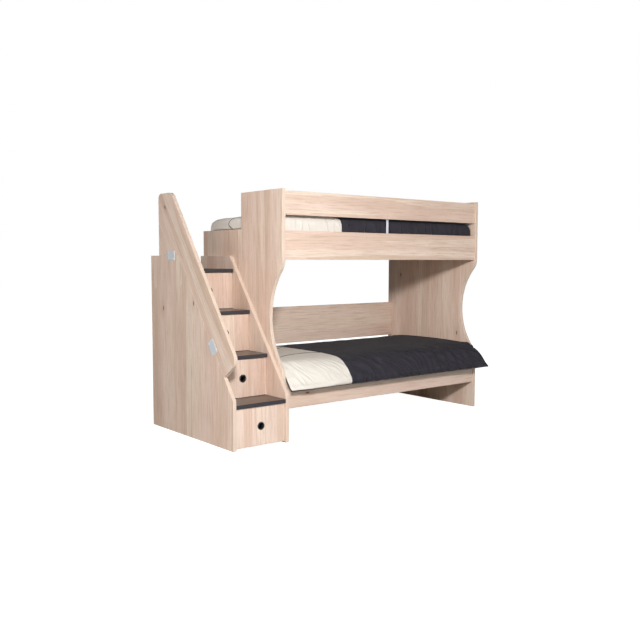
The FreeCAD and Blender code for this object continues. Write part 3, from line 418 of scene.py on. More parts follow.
def planed_softwood(name, grain):
    """Planed spruce: creamy yellow with close grain lines and a matt, slightly furry surface."""
    material, tree, shader = new_finish(name, Roughness=0.62, IOR=1.5)
    marks = printed_grain(tree, grain, "Z")
    ground = add(tree, "ShaderNodeValToRGB", {0: marks["streaks"]}, SPRUCE_LINES)
    relief = add(tree, "ShaderNodeBump", {
        "Height": marks["fibres"], "Strength": PLANED_RELIEF, "Distance": PLANED_RELIEF_DEPTH * MM})
    feed(tree, shader, Base_Color=printed(tree, ground.outputs[0], marks, SPRUCE_TINTS),
         Normal=relief.outputs[0])
    return material


tread_finish = walnut_laminate("walnut_laminate_charcoal_band")
softwood_level = planed_softwood("planed_spruce_level", "level")
softwood_cross = planed_softwood("planed_spruce_crosswise", "crosswise")
print("wood finishes", tread_finish.name, softwood_level.name, softwood_cross.name)

# %% [markdown]
# Drawer boards, runners, wheels and pulls are plain in colour: white melamine from a press plate, pressed
# steel under white powder coat, white nylon, and near-black ABS from a spark-eroded mould. What tells them
# apart is their gloss and a fine pebble. Real pebble is a few tenths of a millimetre at most, and is drawn
# several times coarser so that it shows.

# %% Pebbled boards, coats and mouldings
PEBBLE_TONES = (0.35, 0.65)
PEBBLE_DETAIL = 2.0
PEBBLE_RELIEF = 0.3


def pebbled_surface(name, light, dark, pebble, depth, **values):
    """A plain coloured surface with the fine pebble of a press plate, a mould or a powder coat."""
    material, tree, shader = new_finish(name, **values)
    where = add(tree, "ShaderNodeTexCoord")
    grit = add(tree, "ShaderNodeTexNoise", {
        "Vector": where.outputs["Object"], "Scale": 1 / (pebble * MM), "Detail": PEBBLE_DETAIL})
    tone = add(tree, "ShaderNodeValToRGB", {0: grit.outputs["Fac"]}, list(zip(PEBBLE_TONES, (dark, light))))
    relief = add(tree, "ShaderNodeBump", {
        "Height": grit.outputs["Fac"], "Strength": PEBBLE_RELIEF, "Distance": depth * MM})
    feed(tree, shader, Base_Color=tone.outputs[0], Normal=relief.outputs[0])
    return material


drawer_finish = pebbled_surface("white_melamine_drawer_board", "#EFEAE1", "#E4DED3", 2.5, 0.15,
                                Roughness=0.5, IOR=1.5)
runner_finish = pebbled_surface("white_powder_coated_steel", "#F1F0EC", "#E6E4DF", 1.2, 0.1,
                                Roughness=0.42, IOR=1.5)
nylon_finish = pebbled_surface("moulded_white_nylon", "#E9E7DF", "#DEDBD1", 3.0, 0.05,
                               Roughness=0.5, IOR=1.53)
pull_finish = pebbled_surface("near_black_moulded_abs", "#2A2C2F", "#1B1D1F", 0.9, 0.12,
                              Roughness=0.42, IOR=1.54)
print("plain finishes", [m.name for m in (drawer_finish, runner_finish, nylon_finish, pull_finish)])

# %% [markdown]
# Zinc-plated steel is bluish grey with faint rolling lines, and the strap is brushed aluminium. Satin metal
# scatters much of its light under a thin clear film, so it counts as metal only in part, and looks pale from
# every side. Real brush lines are about 0.1 mm apart, and are drawn about ten times wider so that they show.

# %% Brushed metals
SATIN_METAL = 0.10
SATIN_METAL_ROUGHNESS = 0.45
ROUGHNESS_SPREAD = 0.06
BRUSH_STRETCH = 60
BRUSH_DETAIL = 2.0
STROKE_RANGE = (0.3, 0.7)


def brushed_metal(name, light, dark, brush, along):
    """A satin metal with brush lines of a width in millimetres that run along one direction."""
    material, tree, shader = new_finish(name, Metallic=SATIN_METAL)
    where = add(tree, "ShaderNodeTexCoord")
    turned = add(tree, "ShaderNodeMapping", {
        "Vector": where.outputs["Object"], "Rotation": GRAIN_TURNS[along]})
    lines = add(tree, "ShaderNodeMapping", {
        "Vector": turned.outputs[0], "Scale": pattern_scale(BRUSH_STRETCH * brush, brush)})
    strokes = add(tree, "ShaderNodeTexNoise", {
        "Vector": lines.outputs[0], "Scale": 1.0, "Detail": BRUSH_DETAIL})
    tone = add(tree, "ShaderNodeValToRGB", {0: strokes.outputs["Fac"]},
               list(zip(STROKE_RANGE, (dark, light))))
    rough = add(tree, "ShaderNodeMapRange", {
        0: strokes.outputs["Fac"], 1: STROKE_RANGE[0], 2: STROKE_RANGE[1],
        3: SATIN_METAL_ROUGHNESS - ROUGHNESS_SPREAD, 4: SATIN_METAL_ROUGHNESS + ROUGHNESS_SPREAD})
    feed(tree, shader, Base_Color=tone.outputs[0], Roughness=rough.outputs[0])
    return material


zinc_finish = brushed_metal("zinc_plated_steel", "#DAE1E7", "#C9D0D6", 1.2, "upright")
strap_finish = brushed_metal("brushed_aluminium_bar", "#E4E2EA", "#D8D6DE", 0.8, "upright")
print("metal finishes", zinc_finish.name, strap_finish.name)

# %% [markdown]
# Each CAD node now takes its finish. The table reads as a cutting list: which board has its grain upright,
# which one level, and what is metal or plastic.

# %% Hand out the finishes
drawer_numbers = range(1, 5)
finish_table = [
    (beech_upright, ["left_front_end_panel", "left_rear_end_panel", "right_front_end_panel",
                     "right_rear_end_panel", "stair_outer_side", "stair_inner_side"]),
    (beech_fronts, [f"drawer_{n}_front" for n in drawer_numbers] + ["stair_back_panel"]),
    (beech_level, ["front_guard_rail", "upper_front_rail", "lower_front_rail", "upper_back_rail",
                   "lower_back_rail", "lower_back_board"]),
    (beech_sloping, ["handrail_panel"]),
    (tread_finish, [f"tread_{n}" for n in drawer_numbers]),
    (softwood_level, ["slat_bearers"]),
    (softwood_cross, ["upper_slats", "lower_slats", "end_cleats"]),
    (drawer_finish, [f"drawer_{n}_box" for n in drawer_numbers]),
    (zinc_finish, ["joining_plates", "plate_screws", "strap_screws", "stair_tie_bolts", "cam_locks",
                   "cam_bolts"]),
    (strap_finish, ["guard_strap"]),
    (runner_finish, ["runner_channels"] + [f"drawer_{n}_runner_strips" for n in drawer_numbers]),
    (nylon_finish, [f"drawer_{n}_{end}_rollers" for n in drawer_numbers for end in ("front", "rear")]),
    (pull_finish, [f"drawer_{n}_pull_ring" for n in drawer_numbers]),
]
for finish, nodes in finish_table:
    for node in nodes:
        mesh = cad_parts[node].data
        mesh.materials.clear()
        mesh.materials.append(finish)
finished = sum(len(nodes) for _, nodes in finish_table)
print("finished nodes", finished, "of", len(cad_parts))

# %% [markdown]
# The bedding is what makes the bed look slept in. A mattress is a foam core in a quilted cover: crowned on
# top, drawn in at its border, with a tape sewn round both edges. A cube with more cuts near its edges is bent
# into that form by a rule, because a plain bevel would give the hard look of a box.

# %% Round a mattress in plan
MATTRESS_ROOM = 4
PLAN_RADIUS = 70
LEAST_REACH = 1e-9


def new_piece(name, points, faces, finish=None):
    """A smooth-shaded mesh piece from points and faces, with its place in its mesh."""
    mesh = bpy.data.meshes.new(name)
    mesh.from_pydata([tuple(p) for p in points], [], faces)
    mesh.polygons.foreach_set("use_smooth", [True] * len(mesh.polygons))
    if finish:
        mesh.materials.append(finish)
    piece = bpy.data.objects.new(name, mesh)
    bpy.context.scene.collection.objects.link(piece)
    return piece


def mattress_room(node):
    """Half sizes and middle of the room that a mattress has, from its CAD node."""
    low, high = (measure(corner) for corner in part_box(node))
    return np.array((high - low) / 2) - MATTRESS_ROOM, np.array((low + high) / 2)


def plan_rounded(x, y, half_x, half_y):
    """Moves points of a rectangle into one with round corners, and says how far inside its edge they lie."""
    over_x = np.maximum(np.abs(x) - (half_x - PLAN_RADIUS), 0)
    over_y = np.maximum(np.abs(y) - (half_y - PLAN_RADIUS), 0)
    reach = np.maximum(np.hypot(over_x, over_y), LEAST_REACH)
    shrink = np.maximum(over_x, over_y) / reach
    x = np.sign(x) * (np.abs(x) - over_x * (1 - shrink))
    y = np.sign(y) * (np.abs(y) - over_y * (1 - shrink))
    straight = np.minimum(half_x - np.abs(x), half_y - np.abs(y))
    corner = PLAN_RADIUS - reach * shrink
    return x, y, np.where((over_x > 0) & (over_y > 0), corner, straight)


mattress_nodes = ("upper_mattress", "lower_mattress")
for node in mattress_nodes:
    print(node, "half sizes", mattress_room(node)[0].round(1), "mm")

# %% Bend a cube into a mattress
MATTRESS_CUTS = 39
EDGE_RADIUS = 24
MATTRESS_CROWN = 4
BORDER_DRAW = 5
PLEAT_PITCH = 85
PLEAT_DEPTH = 2
ON_A_SIDE = 0.9999


def mattress_form(name, node):
    """A crowned mattress with a drawn-in, pleated border, inside the room of its CAD node."""
    half, middle = mattress_room(node)
    cube = bmesh.new()
    bmesh.ops.create_cube(cube, size=2.0)
    bmesh.ops.subdivide_edges(cube, edges=cube.edges[:], cuts=MATTRESS_CUTS, use_grid_fill=True)
    unit = np.array([v.co for v in cube.verts])
    faces = [[v.index for v in f.verts] for f in cube.faces]
    cube.free()
    spread = np.sin(unit * math.pi / 2)
    x, y, inside = plan_rounded(spread[:, 0] * half[0], spread[:, 1] * half[1], half[0], half[1])
    flat_side = np.maximum(np.abs(unit[:, 0]), np.abs(unit[:, 1])) > ON_A_SIDE
    inside = np.where(flat_side, 0, np.maximum(inside, 0))
    rolled = np.minimum(inside, EDGE_RADIUS)
    roll = EDGE_RADIUS - np.sqrt(np.maximum(EDGE_RADIUS ** 2 - (EDGE_RADIUS - rolled) ** 2, 0))
    crown = MATTRESS_CROWN * (1 - (1 - np.minimum(inside / half[1], 1)) ** 2)
    upper = spread[:, 2] > 0
    panel = half[2] - roll + np.where(upper, crown - MATTRESS_CROWN, 0)
    side_height = spread[:, 2] * (half[2] - EDGE_RADIUS)
    z = np.where(flat_side, side_height, np.sign(spread[:, 2]) * panel)
    along_border = np.where(np.abs(y) > half[1] - PLAN_RADIUS, x, y)
    pleat = PLEAT_DEPTH * np.cos(2 * math.pi * along_border / PLEAT_PITCH)
    draw = np.where(flat_side, (BORDER_DRAW + pleat) * (1 - spread[:, 2] ** 2), 0)
    x = x * (1 - draw / half[0])
    y = y * (1 - draw / half[1])
    points = [place(*(middle + np.array(p))) for p in zip(x, y, z)]
    return new_piece(name, points, faces)


mattresses = {node: mattress_form(f"{node}_cover", node) for node in mattress_nodes}
for node, piece in mattresses.items():
    print(piece.name, "faces", len(piece.data.polygons))

# %% [markdown]
# A duvet is a flat quilt laid over the mattress. Its shape comes in two steps. First a rule lays it as the
# photograph shows it: flat over the bed, rounded over the front edge, hanging out in front of the rail. Then
# the cover is made a little too large for its filling and falls on it as cloth, so the spare fabric folds by
# itself. Modelling all the folds by hand would take longer and look more regular. A grid of points carries
# the cloth, so a few helpers for lines of points come first.

# %% Helpers for lines of points
GRID_STEP = 14


def smooth_step(t):
    """Zero below 0, one above 1, and an even S between them."""
    t = np.clip(t, 0, 1)
    return t * t * (3 - 2 * t)


def even_points(line, count):
    """The same line with its points at even distances, and its length."""
    steps = np.concatenate([[0], np.cumsum(np.linalg.norm(np.diff(line, axis=0), axis=1))])
    wanted = np.linspace(0, steps[-1], count)
    evened_out = [np.interp(wanted, steps, line[:, axis]) for axis in range(line.shape[1])]
    return np.stack(evened_out, axis=1), steps[-1]


def grid_count(line):
    """How many points a line has when they are about a grid step apart."""
    return int(even_points(line, 2)[1] / GRID_STEP)


def shrunk(line, inset):
    """A line across the bed, moved inwards by an inset."""
    along = np.gradient(line, axis=0)
    outward = np.stack([along[:, 1], -along[:, 0]], axis=1)
    return line - np.reshape(inset, (-1, 1)) * outward / np.linalg.norm(outward, axis=1, keepdims=True)


def grid_faces(rows, columns):
    """Quads of a grid of points, looking up where its rows run to the front and its columns to the right."""
    index = np.arange(rows * columns).reshape(rows, columns)
    return np.stack([index[:-1, :-1], index[1:, :-1], index[1:, 1:], index[:-1, 1:]], axis=-1).reshape(-1, 4)


print("grid step", GRID_STEP, "mm, a square of two by two cells has", len(grid_faces(3, 3)), "quads")

# %% [markdown]
# The lower duvet's line across the bed starts at its rear edge, rolls up to the top, crosses it and bends
# down to the hem in one soft curve. At the head the hem is drawn in towards the rail; at the foot the corner
# flares out and up, and is fuller.

# %% The lower duvet's line across the bed
LOWER_ENDS = (30, 1910)
LOWER_TOP = 510
LOWER_CROWN, FOOT_CROWN = 12, 12
TOP_FLATNESS = 4
REAR_EDGE, REAR_ROLL = (934, 486), 24
SHOULDER_Y = 80
HEM = (-78, 334)
HEM_TUCK, HEM_TUCK_RUN = (22, -2), 160
BEND, TUCK_BEND, FLARE_BEND = (10, -30), (50, -58), (46, 14)
TUCK_RUN = 420
FLARE_START, FLARE_RUN = 1450, 460
FLARE_OUT, FLARE_UP = 50, 11
FRONT_SLACK, FRONT_SLACK_RUN = 0.8, 0.5
ROLL_POINTS, TOP_POINTS, FRONT_POINTS = 8, 60, 40


def lower_profile(x, inset):
    """The duvet's line across the bed at x, from its rear edge over the top to the hem, as y and z."""
    flare = smooth_step((x - FLARE_START) / FLARE_RUN)
    tuck = 1 - smooth_step((x - LOWER_ENDS[0]) / TUCK_RUN)
    hem_tuck = 1 - smooth_step((x - LOWER_ENDS[0]) / HEM_TUCK_RUN)
    hem = np.array(HEM) + flare * np.array([-FLARE_OUT, FLARE_UP]) + hem_tuck * np.array(HEM_TUCK)
    angle = np.linspace(0, math.pi / 2, ROLL_POINTS)[:-1]
    rear = np.stack([REAR_EDGE[0] - REAR_ROLL * (1 - np.cos(angle)),
                     REAR_EDGE[1] + REAR_ROLL * np.sin(angle)], axis=1)
    y = np.linspace(REAR_EDGE[0] - REAR_ROLL, SHOULDER_Y, TOP_POINTS)
    arch = 1 - ((2 * y - y[0] - y[-1]) / (y[0] - y[-1])) ** TOP_FLATNESS
    top = np.stack([y, LOWER_TOP + (LOWER_CROWN + FOOT_CROWN * flare) * arch], axis=1)
    t = np.linspace(0, 1, FRONT_POINTS)[1:, None]
    bend = (np.array([hem[0], LOWER_TOP]) + np.array(BEND) + tuck * np.array(TUCK_BEND)
            + flare * np.array(FLARE_BEND))
    front = (1 - t) ** 2 * top[-1] + 2 * t * (1 - t) * bend + t ** 2 * hem
    loose = np.concatenate([np.zeros(len(rear) + len(top)), smooth_step(t[:, 0] / FRONT_SLACK_RUN)])
    return shrunk(np.concatenate([rear, top, front]), inset * (1 + FRONT_SLACK * loose))


for x in LOWER_ENDS:
    print("line across at", x, "is", round(even_points(lower_profile(x, 0), 2)[1]), "mm long")

# %% [markdown]
# Large folds run down the charcoal front: slanting near the seam, upright at the foot, smaller at the hem.
# The lay gives them a start, so the cloth step doesn't place them by chance. Two slow waves make their spacing
# uneven, and their height comes and goes. The rear edge gets low, wide bumps.

# %% Lay the lower duvet
LOWER_SEAM_X = 545
SEAM_BLEND = 80
FLARE_SIDE, FLARE_START_SHARE = 34, 0.60
FOLD_PITCH, FOLD_DEPTH, FOLD_LIFT = 94, 32, 0.4
FOLD_SLANT = 900
UPRIGHT_FROM, UPRIGHT_RUN = 1000, 500
FOLD_WANDERS = ((0.55, 210), (0.3, 67))
CREST_MEAN = 0.375
STRENGTH_MEAN, STRENGTH_WAVE, STRENGTH_PITCHES, STRENGTH_START = 0.7, 0.3, 2.7, 1
FOLD_START_SHARE, SHOULDER_SHARE, SHOULDER_RUN_SHARE = 0.66, 0.79, 0.06
HEM_FROM_SHARE, HEM_RUN_SHARE = 0.9, 0.1
HEM_FOLD_SHARE, CREAM_FOLD_SHARE = 0.35, 0.15
REAR_BUMP, REAR_BUMP_PITCH, REAR_BUMP_DRIFT, REAR_BUMP_SHARE = 5, 240, 97, 0.3


def fold_crests(x, share):
    """Height of the laid folds at x, at shares of the way from the rear edge to the hem."""
    slant = FOLD_SLANT * (1 - smooth_step((x - UPRIGHT_FROM) / UPRIGHT_RUN))
    wander = sum(reach * math.sin(x / length) for reach, length in FOLD_WANDERS)
    phase = (x - slant * (share - SHOULDER_SHARE)) / FOLD_PITCH + wander
    crest = (0.5 + 0.5 * np.sin(2 * math.pi * phase)) ** 2 - CREST_MEAN
    strength = STRENGTH_MEAN + STRENGTH_WAVE * np.sin(2 * math.pi * phase / STRENGTH_PITCHES + STRENGTH_START)
    rise_run = SHOULDER_SHARE + SHOULDER_RUN_SHARE - FOLD_START_SHARE
    rising = smooth_step((share - FOLD_START_SHARE) / rise_run)
    at_hem = smooth_step((share - HEM_FROM_SHARE) / HEM_RUN_SHARE)
    return crest * strength * rising * (1 - (1 - HEM_FOLD_SHARE) * at_hem)


def lower_lay(inset, folds):
    """The laid duvet as rows of points, from the rear edge to the hem, at even steps along the bed."""
    columns = np.linspace(*LOWER_ENDS, int((LOWER_ENDS[1] - LOWER_ENDS[0]) / GRID_STEP))
    row_count = grid_count(lower_profile(columns[0], 0))
    sheet = np.zeros((row_count, len(columns), 3))
    share = np.linspace(0, 1, row_count)
    front = smooth_step((share - FLARE_START_SHARE) / (1 - FLARE_START_SHARE))
    rear = 1 - smooth_step(share / REAR_BUMP_SHARE)
    for index, x in enumerate(columns):
        line, _ = even_points(lower_profile(x, inset), row_count)
        sideways = FLARE_SIDE * smooth_step((x - FLARE_START) / FLARE_RUN) ** 2
        charcoal = CREAM_FOLD_SHARE + (1 - CREAM_FOLD_SHARE) * smooth_step((x - LOWER_SEAM_X) / SEAM_BLEND)
        depth = folds * FOLD_DEPTH * fold_crests(x, share) * charcoal
        wave = math.sin(2 * math.pi * x / REAR_BUMP_PITCH + math.sin(x / REAR_BUMP_DRIFT))
        sheet[:, index, 0] = x + sideways * front
        sheet[:, index, 1] = line[:, 0] - depth
        sheet[:, index, 2] = line[:, 1] + FOLD_LIFT * depth + folds * REAR_BUMP * rear * wave
    return sheet


lower_start = lower_lay(0, 1)
print("lower duvet grid", lower_start.shape, "hem from", lower_start[-1, 0].round(1), "to",
      lower_start[-1, -1].round(1))

# %% [markdown]
# The upper duvet is tucked: its front and rear sides go down beside the mattress, and its ends roll over and
# hang inside the end panels. The same idea lays it, with one line across the bed and one along it.

# %% Lay the upper duvet
UPPER_ENDS = (29.5, 1910.5)
UPPER_SEAM_X = 537
UPPER_TOP = 1482
UPPER_CROWN, CROWN_RUN, CROWN_POWER = 34, 260, 2.4
TUCK_Z = 1338
FRONT_Y, FRONT_ROLL = 39.5, (60, 56)
REAR_Y, REAR_ROLL_UPPER = 940, (62, 52)
REAR_SWELL, SWELL_Z, SWELL_RUN = 13, 1372, 46
END_ROLL, END_SKIRT = 30, 44
CORNER_DRAW = 26
SIDE_POINTS, SIDE_ROLL_POINTS = 12, 16
SKIRT_POINTS, END_ROLL_POINTS = 6, 12


def upper_profile(inset):
    """The tucked duvet's line across the bed, from the rear tuck over the top to the front tuck."""
    angle = np.linspace(0, math.pi / 2, SIDE_ROLL_POINTS)
    swell_z = np.linspace(TUCK_Z, UPPER_TOP - REAR_ROLL_UPPER[1], SIDE_POINTS)[:-1]
    swell = smooth_step((swell_z - SWELL_Z) / SWELL_RUN)
    rear_side = np.stack([REAR_Y + REAR_SWELL * swell, swell_z], axis=1)
    middle = REAR_Y + REAR_SWELL - REAR_ROLL_UPPER[0]
    rear_roll = np.stack([middle + REAR_ROLL_UPPER[0] * np.cos(angle),
                          UPPER_TOP - REAR_ROLL_UPPER[1] * (1 - np.sin(angle))], axis=1)
    y = np.linspace(middle, FRONT_Y + FRONT_ROLL[0], TOP_POINTS)[1:-1]
    arch = 1 - np.abs((2 * y - y[0] - y[-1]) / (y[0] - y[-1])) ** CROWN_POWER
    top = np.stack([y, UPPER_TOP + UPPER_CROWN * arch], axis=1)
    front_roll = np.stack([FRONT_Y + FRONT_ROLL[0] * (1 - np.sin(angle)),
                           UPPER_TOP - FRONT_ROLL[1] * (1 - np.cos(angle))], axis=1)
    front_z = np.linspace(UPPER_TOP - FRONT_ROLL[1], TUCK_Z, SIDE_POINTS)[1:]
    front_side = np.stack([np.full_like(front_z, FRONT_Y), front_z], axis=1)
    return shrunk(np.concatenate([rear_side, rear_roll, top, front_roll, front_side]), inset)


def upper_ends(left, right, inset):
    """The tucked duvet's line along the bed, from skirt to skirt, as x and the drop below the top."""
    roll = END_ROLL - inset
    angle = np.linspace(0, math.pi / 2, END_ROLL_POINTS)[1:]
    skirt = np.stack([np.full(SKIRT_POINTS, left),
                      np.linspace(END_ROLL + END_SKIRT, END_ROLL, SKIRT_POINTS)], axis=1)
    arc = np.stack([left + roll * (1 - np.cos(angle)), END_ROLL - roll * np.sin(angle) - inset], axis=1)
    half = np.concatenate([skirt, arc])
    other = half[::-1] * [-1, 1] + [left + right, 0]
    return np.concatenate([half, other])


def upper_lay(inset):
    """The tucked duvet as rows of points from the rear to the front, with rolled ends."""
    left, right = UPPER_ENDS[0] + inset, UPPER_ENDS[1] - inset
    along, across = upper_ends(left, right, inset), upper_profile(inset)
    ends, _ = even_points(along, grid_count(along))
    line, _ = even_points(across, grid_count(across))
    drop = np.clip(ends[:, 1], 0, None)
    keep = 1 - drop / (UPPER_TOP - TUCK_Z)
    centre = (FRONT_Y + REAR_Y) / 2
    draw = CORNER_DRAW * smooth_step(drop / (END_ROLL + END_SKIRT))
    sheet = np.zeros((len(line), len(ends), 3))
    sheet[:, :, 0] = ends[None, :, 0]
    sheet[:, :, 1] = centre + (line[:, 0, None] - centre) * (1 - draw[None, :] / (centre - FRONT_Y))
    run_up = smooth_step(np.minimum(ends[:, 0] - left, right - ends[:, 0]) / CROWN_RUN)
    crown = np.maximum(line[:, 1, None] - UPPER_TOP, 0)
    sheet[:, :, 2] = TUCK_Z + (line[:, 1, None] - crown - TUCK_Z) * keep[None, :] + crown * run_up[None, :]
    return sheet


upper_start = upper_lay(0)
print("upper duvet grid", upper_start.shape)

# %% [markdown]
# Now the cloth step. The filling is a slightly smaller copy of the laid form, and boards stand where the
# bed's own boards are. The cover's springs want to be a few percent longer than they are laid, more in the
# charcoal part, where the photograph shows many folds, than in the cream part. Stiff bending keeps the folds
# as wide as those of a quilt. The front row of points is held, so the hem of the lower duvet stays where the
# photograph shows it, and the front of the upper one stays tucked.

# %% The cloth and what stops it
SIM_FRAMES = 26
FILLING_GAP = 9
FILLING_COARSE = 2  # the filling needs only every second point
CLOTH_GAP = 4
FRICTION = 12.0
COLLISION_QUALITY = 2
GROWTH = (0.006, 0.05)
COTTON = {"quality": 5, "mass": 0.25, "air_damping": 2.0, "tension_stiffness": 40.0,
          "compression_stiffness": 40.0, "shear_stiffness": 12.0, "bending_stiffness": 1.4,
          "tension_damping": 12.0, "compression_damping": 12.0, "shear_damping": 8.0, "bending_damping": 2.0}


def grid_piece(name, sheet):
    """A plain piece from rows of points."""
    rows, columns, _ = sheet.shape
    return new_piece(name, [place(*p) for p in sheet.reshape(-1, 3)], grid_faces(rows, columns).tolist())


def stop_board(name, low, high):
    """A flat board that stops the cloth: its four corners lie between two opposite ones."""
    low, high = np.array(low, float), np.array(high, float)
    flat = int(np.argmin(np.abs(high - low)))
    a, b = [axis for axis in range(3) if axis != flat]
    corners = []
    for share_a, share_b in ((0, 0), (1, 0), (1, 1), (0, 1)):
        corner = low.copy()
        corner[a] += share_a * (high[a] - low[a])
        corner[b] += share_b * (high[b] - low[b])
        corners.append(place(*corner))
    return new_piece(name, corners, [(0, 1, 2, 3)])


def settle(name, start, blocks, slack):
    """Lets a cover fall on its filling as cloth and gives the settled rows of points, in millimetres."""
    cover = grid_piece(name, start)
    for block in blocks:
        block.modifiers.new("Collision", "COLLISION")
        block.collision.thickness_outer = CLOTH_GAP * MM
        block.collision.cloth_friction = FRICTION
        block.collision.use_culling = False
    group = cover.vertex_groups.new(name="slack")
    for index, weight in enumerate(slack.reshape(-1)):
        group.add([index], float(weight), "REPLACE")
    held = cover.vertex_groups.new(name="held")
    front_row = np.arange(slack.size).reshape(slack.shape)[-1]
    held.add(front_row.tolist(), 1.0, "REPLACE")
    cloth = cover.modifiers.new("Cloth", "CLOTH")
    for setting, value in COTTON.items():
        setattr(cloth.settings, setting, value)
    cloth.settings.shrink_min, cloth.settings.shrink_max = (-share for share in GROWTH)
    cloth.settings.vertex_group_shrink = group.name
    cloth.settings.vertex_group_mass = held.name
    cloth.collision_settings.distance_min = CLOTH_GAP * MM
    cloth.collision_settings.collision_quality = COLLISION_QUALITY
    cloth.point_cache.frame_start, cloth.point_cache.frame_end = 1, SIM_FRAMES
    for number in range(1, SIM_FRAMES + 1):
        bpy.context.scene.frame_set(number)
    seen = cover.evaluated_get(bpy.context.evaluated_depsgraph_get())
    points = np.zeros(start.size, np.float32)
    seen.data.vertices.foreach_get("co", points)
    for piece in [cover, *blocks]:
        bpy.data.objects.remove(piece)
    bpy.context.scene.frame_set(1)
    return (points.reshape(start.shape) - np.array(bed_corner)) / MM


print("cloth for", SIM_FRAMES, "frames, spare fabric up to", 100 * GROWTH[1], "percent")

# %% Let the covers settle
SPARE_EARLY, SPARE_BLEND = 60, 200
SPARE_ON_TOP, SPARE_RISE = 0.45, 0.2
LOWER_MOST_FROM, UPPER_MOST_FROM = 0.55, 0.5
LOWER_STOPS = {"left_stop": ((26, -20, 300), (26, 980, 700)),
               "right_stop": ((1914, 4, 300), (1914, 980, 700))}
UPPER_STOPS = {"left_stop": ((26, 0, 1250), (26, 980, 1600)),
               "right_stop": ((1914, 0, 1250), (1914, 980, 1600)),
               "front_stop": ((0, 34, 1250), (1940, 34, 1600))}


def spare_fabric(sheet, seam_x, most_from):
    """How much spare fabric each point has: little in the cream part, most on the charcoal front."""
    along = smooth_step((sheet[:, :, 0] - seam_x + SPARE_EARLY) / SPARE_BLEND)
    front = smooth_step((np.linspace(0, 1, sheet.shape[0]) - most_from) / SPARE_RISE)
    return along * (SPARE_ON_TOP + (1 - SPARE_ON_TOP) * front)[:, None]


def blocks_for(name, filling, stops):
    """The filling under a cover, and the boards round it."""
    coarse = filling[::FILLING_COARSE, ::FILLING_COARSE]
    return [grid_piece(name, coarse)] + [stop_board(label, *corners) for label, corners in stops.items()]


lower_sheet, upper_sheet = lower_start, upper_start
lower_sheet = settle("lower_cover", lower_start,
                     blocks_for("lower_filling", lower_lay(FILLING_GAP, 0), LOWER_STOPS),
                     spare_fabric(lower_start, LOWER_SEAM_X, LOWER_MOST_FROM))
upper_sheet = settle("upper_cover", upper_start,
                     blocks_for("upper_filling", upper_lay(FILLING_GAP), UPPER_STOPS),
                     spare_fabric(upper_start, UPPER_SEAM_X, UPPER_MOST_FROM))
for label, sheet, start in (("lower", lower_sheet, lower_start), ("upper", upper_sheet, upper_start)):
    moved = np.linalg.norm(sheet - start, axis=2)
    print(label, "cover moved", moved.mean().round(1), "to", moved.max().round(1), "mm, from",
          sheet.reshape(-1, 3).min(0).round(0), "to", sheet.reshape(-1, 3).max(0).round(0))

# %% [markdown]
# A settled cover is one layer. The quilt gets its underside and its sewn edges here: the underside lies a
# filling's thickness below, and the two meet in a thin hem. The flat cut of the cloth goes into a UV map in
# metres, so that the colours, the weave and the creases follow the fabric through every fold.

# %% Give the duvets their thickness
HEM_SHARE, HEM_RUN = 0.28, 60
NORMAL_ROUNDS, JITTER_ROUNDS = 4, 2


def outward_of(sheet):
    """Unit normals of a grid of points, evened out over their neighbours."""
    normal = np.cross(np.gradient(sheet, axis=0), np.gradient(sheet, axis=1))
    for _ in range(NORMAL_ROUNDS):
        padded = np.pad(normal, ((1, 1), (1, 1), (0, 0)), mode="edge")
        normal = (padded[2:, 1:-1] + padded[:-2, 1:-1] + padded[1:-1, 2:] + padded[1:-1, :-2] + normal) / 5
    return normal / np.linalg.norm(normal, axis=2, keepdims=True)


def evened(sheet):
    """The same grid of points with small jitter smoothed out, its edges kept."""
    sheet = sheet.copy()
    for _ in range(JITTER_ROUNDS):
        inner = (sheet[2:, 1:-1] + sheet[:-2, 1:-1] + sheet[1:-1, 2:] + sheet[1:-1, :-2]) / 4
        sheet[1:-1, 1:-1] = (sheet[1:-1, 1:-1] + inner) / 2
    return sheet


def quilt_body(name, sheet, laid, thickness, finish):
    """A closed quilt from its settled cover, with a UV map of the flat cut, as it was laid, in metres."""
    rows, columns, _ = sheet.shape
    row, column = np.meshgrid(np.arange(rows), np.arange(columns), indexing="ij")
    edge = np.minimum.reduce([row, column, rows - 1 - row, columns - 1 - column]) * GRID_STEP
    depth = thickness * (HEM_SHARE + (1 - HEM_SHARE) * smooth_step(edge / HEM_RUN))
    under = sheet - outward_of(sheet) * depth[:, :, None]
    count = rows * columns
    top = grid_faces(rows, columns)
    faces = top.tolist() + (top[:, ::-1] + count).tolist()
    index = np.arange(count).reshape(rows, columns)
    rim = np.concatenate([index[0, ::-1], index[1:, 0], index[-1, 1:], index[-2:0:-1, -1], index[0, -1:]])
    faces += [(b, a, a + count, b + count) for a, b in zip(rim[:-1].tolist(), rim[1:].tolist())]
    points = np.concatenate([sheet.reshape(-1, 3), under.reshape(-1, 3)])
    piece = new_piece(name, [place(*p) for p in points], faces, finish)
    steps = [np.linalg.norm(np.diff(laid, axis=axis), axis=2).mean() * MM for axis in (1, 0)]
    flat = np.stack([column * steps[0], row * steps[1]], axis=-1).reshape(-1, 2)
    flat = np.concatenate([flat, flat])
    corner = np.zeros(len(piece.data.loops), np.int32)
    piece.data.loops.foreach_get("vertex_index", corner)
    cut = piece.data.uv_layers.new(name="flat_cut")
    cut.data.foreach_set("uv", flat[corner].reshape(-1).astype(np.float32))
    print(name, "is cut", flat.max(0).round(2), "m")
    return piece


lower_sheet, upper_sheet = evened(lower_sheet), evened(upper_sheet)
print("covers evened", JITTER_ROUNDS, "times")

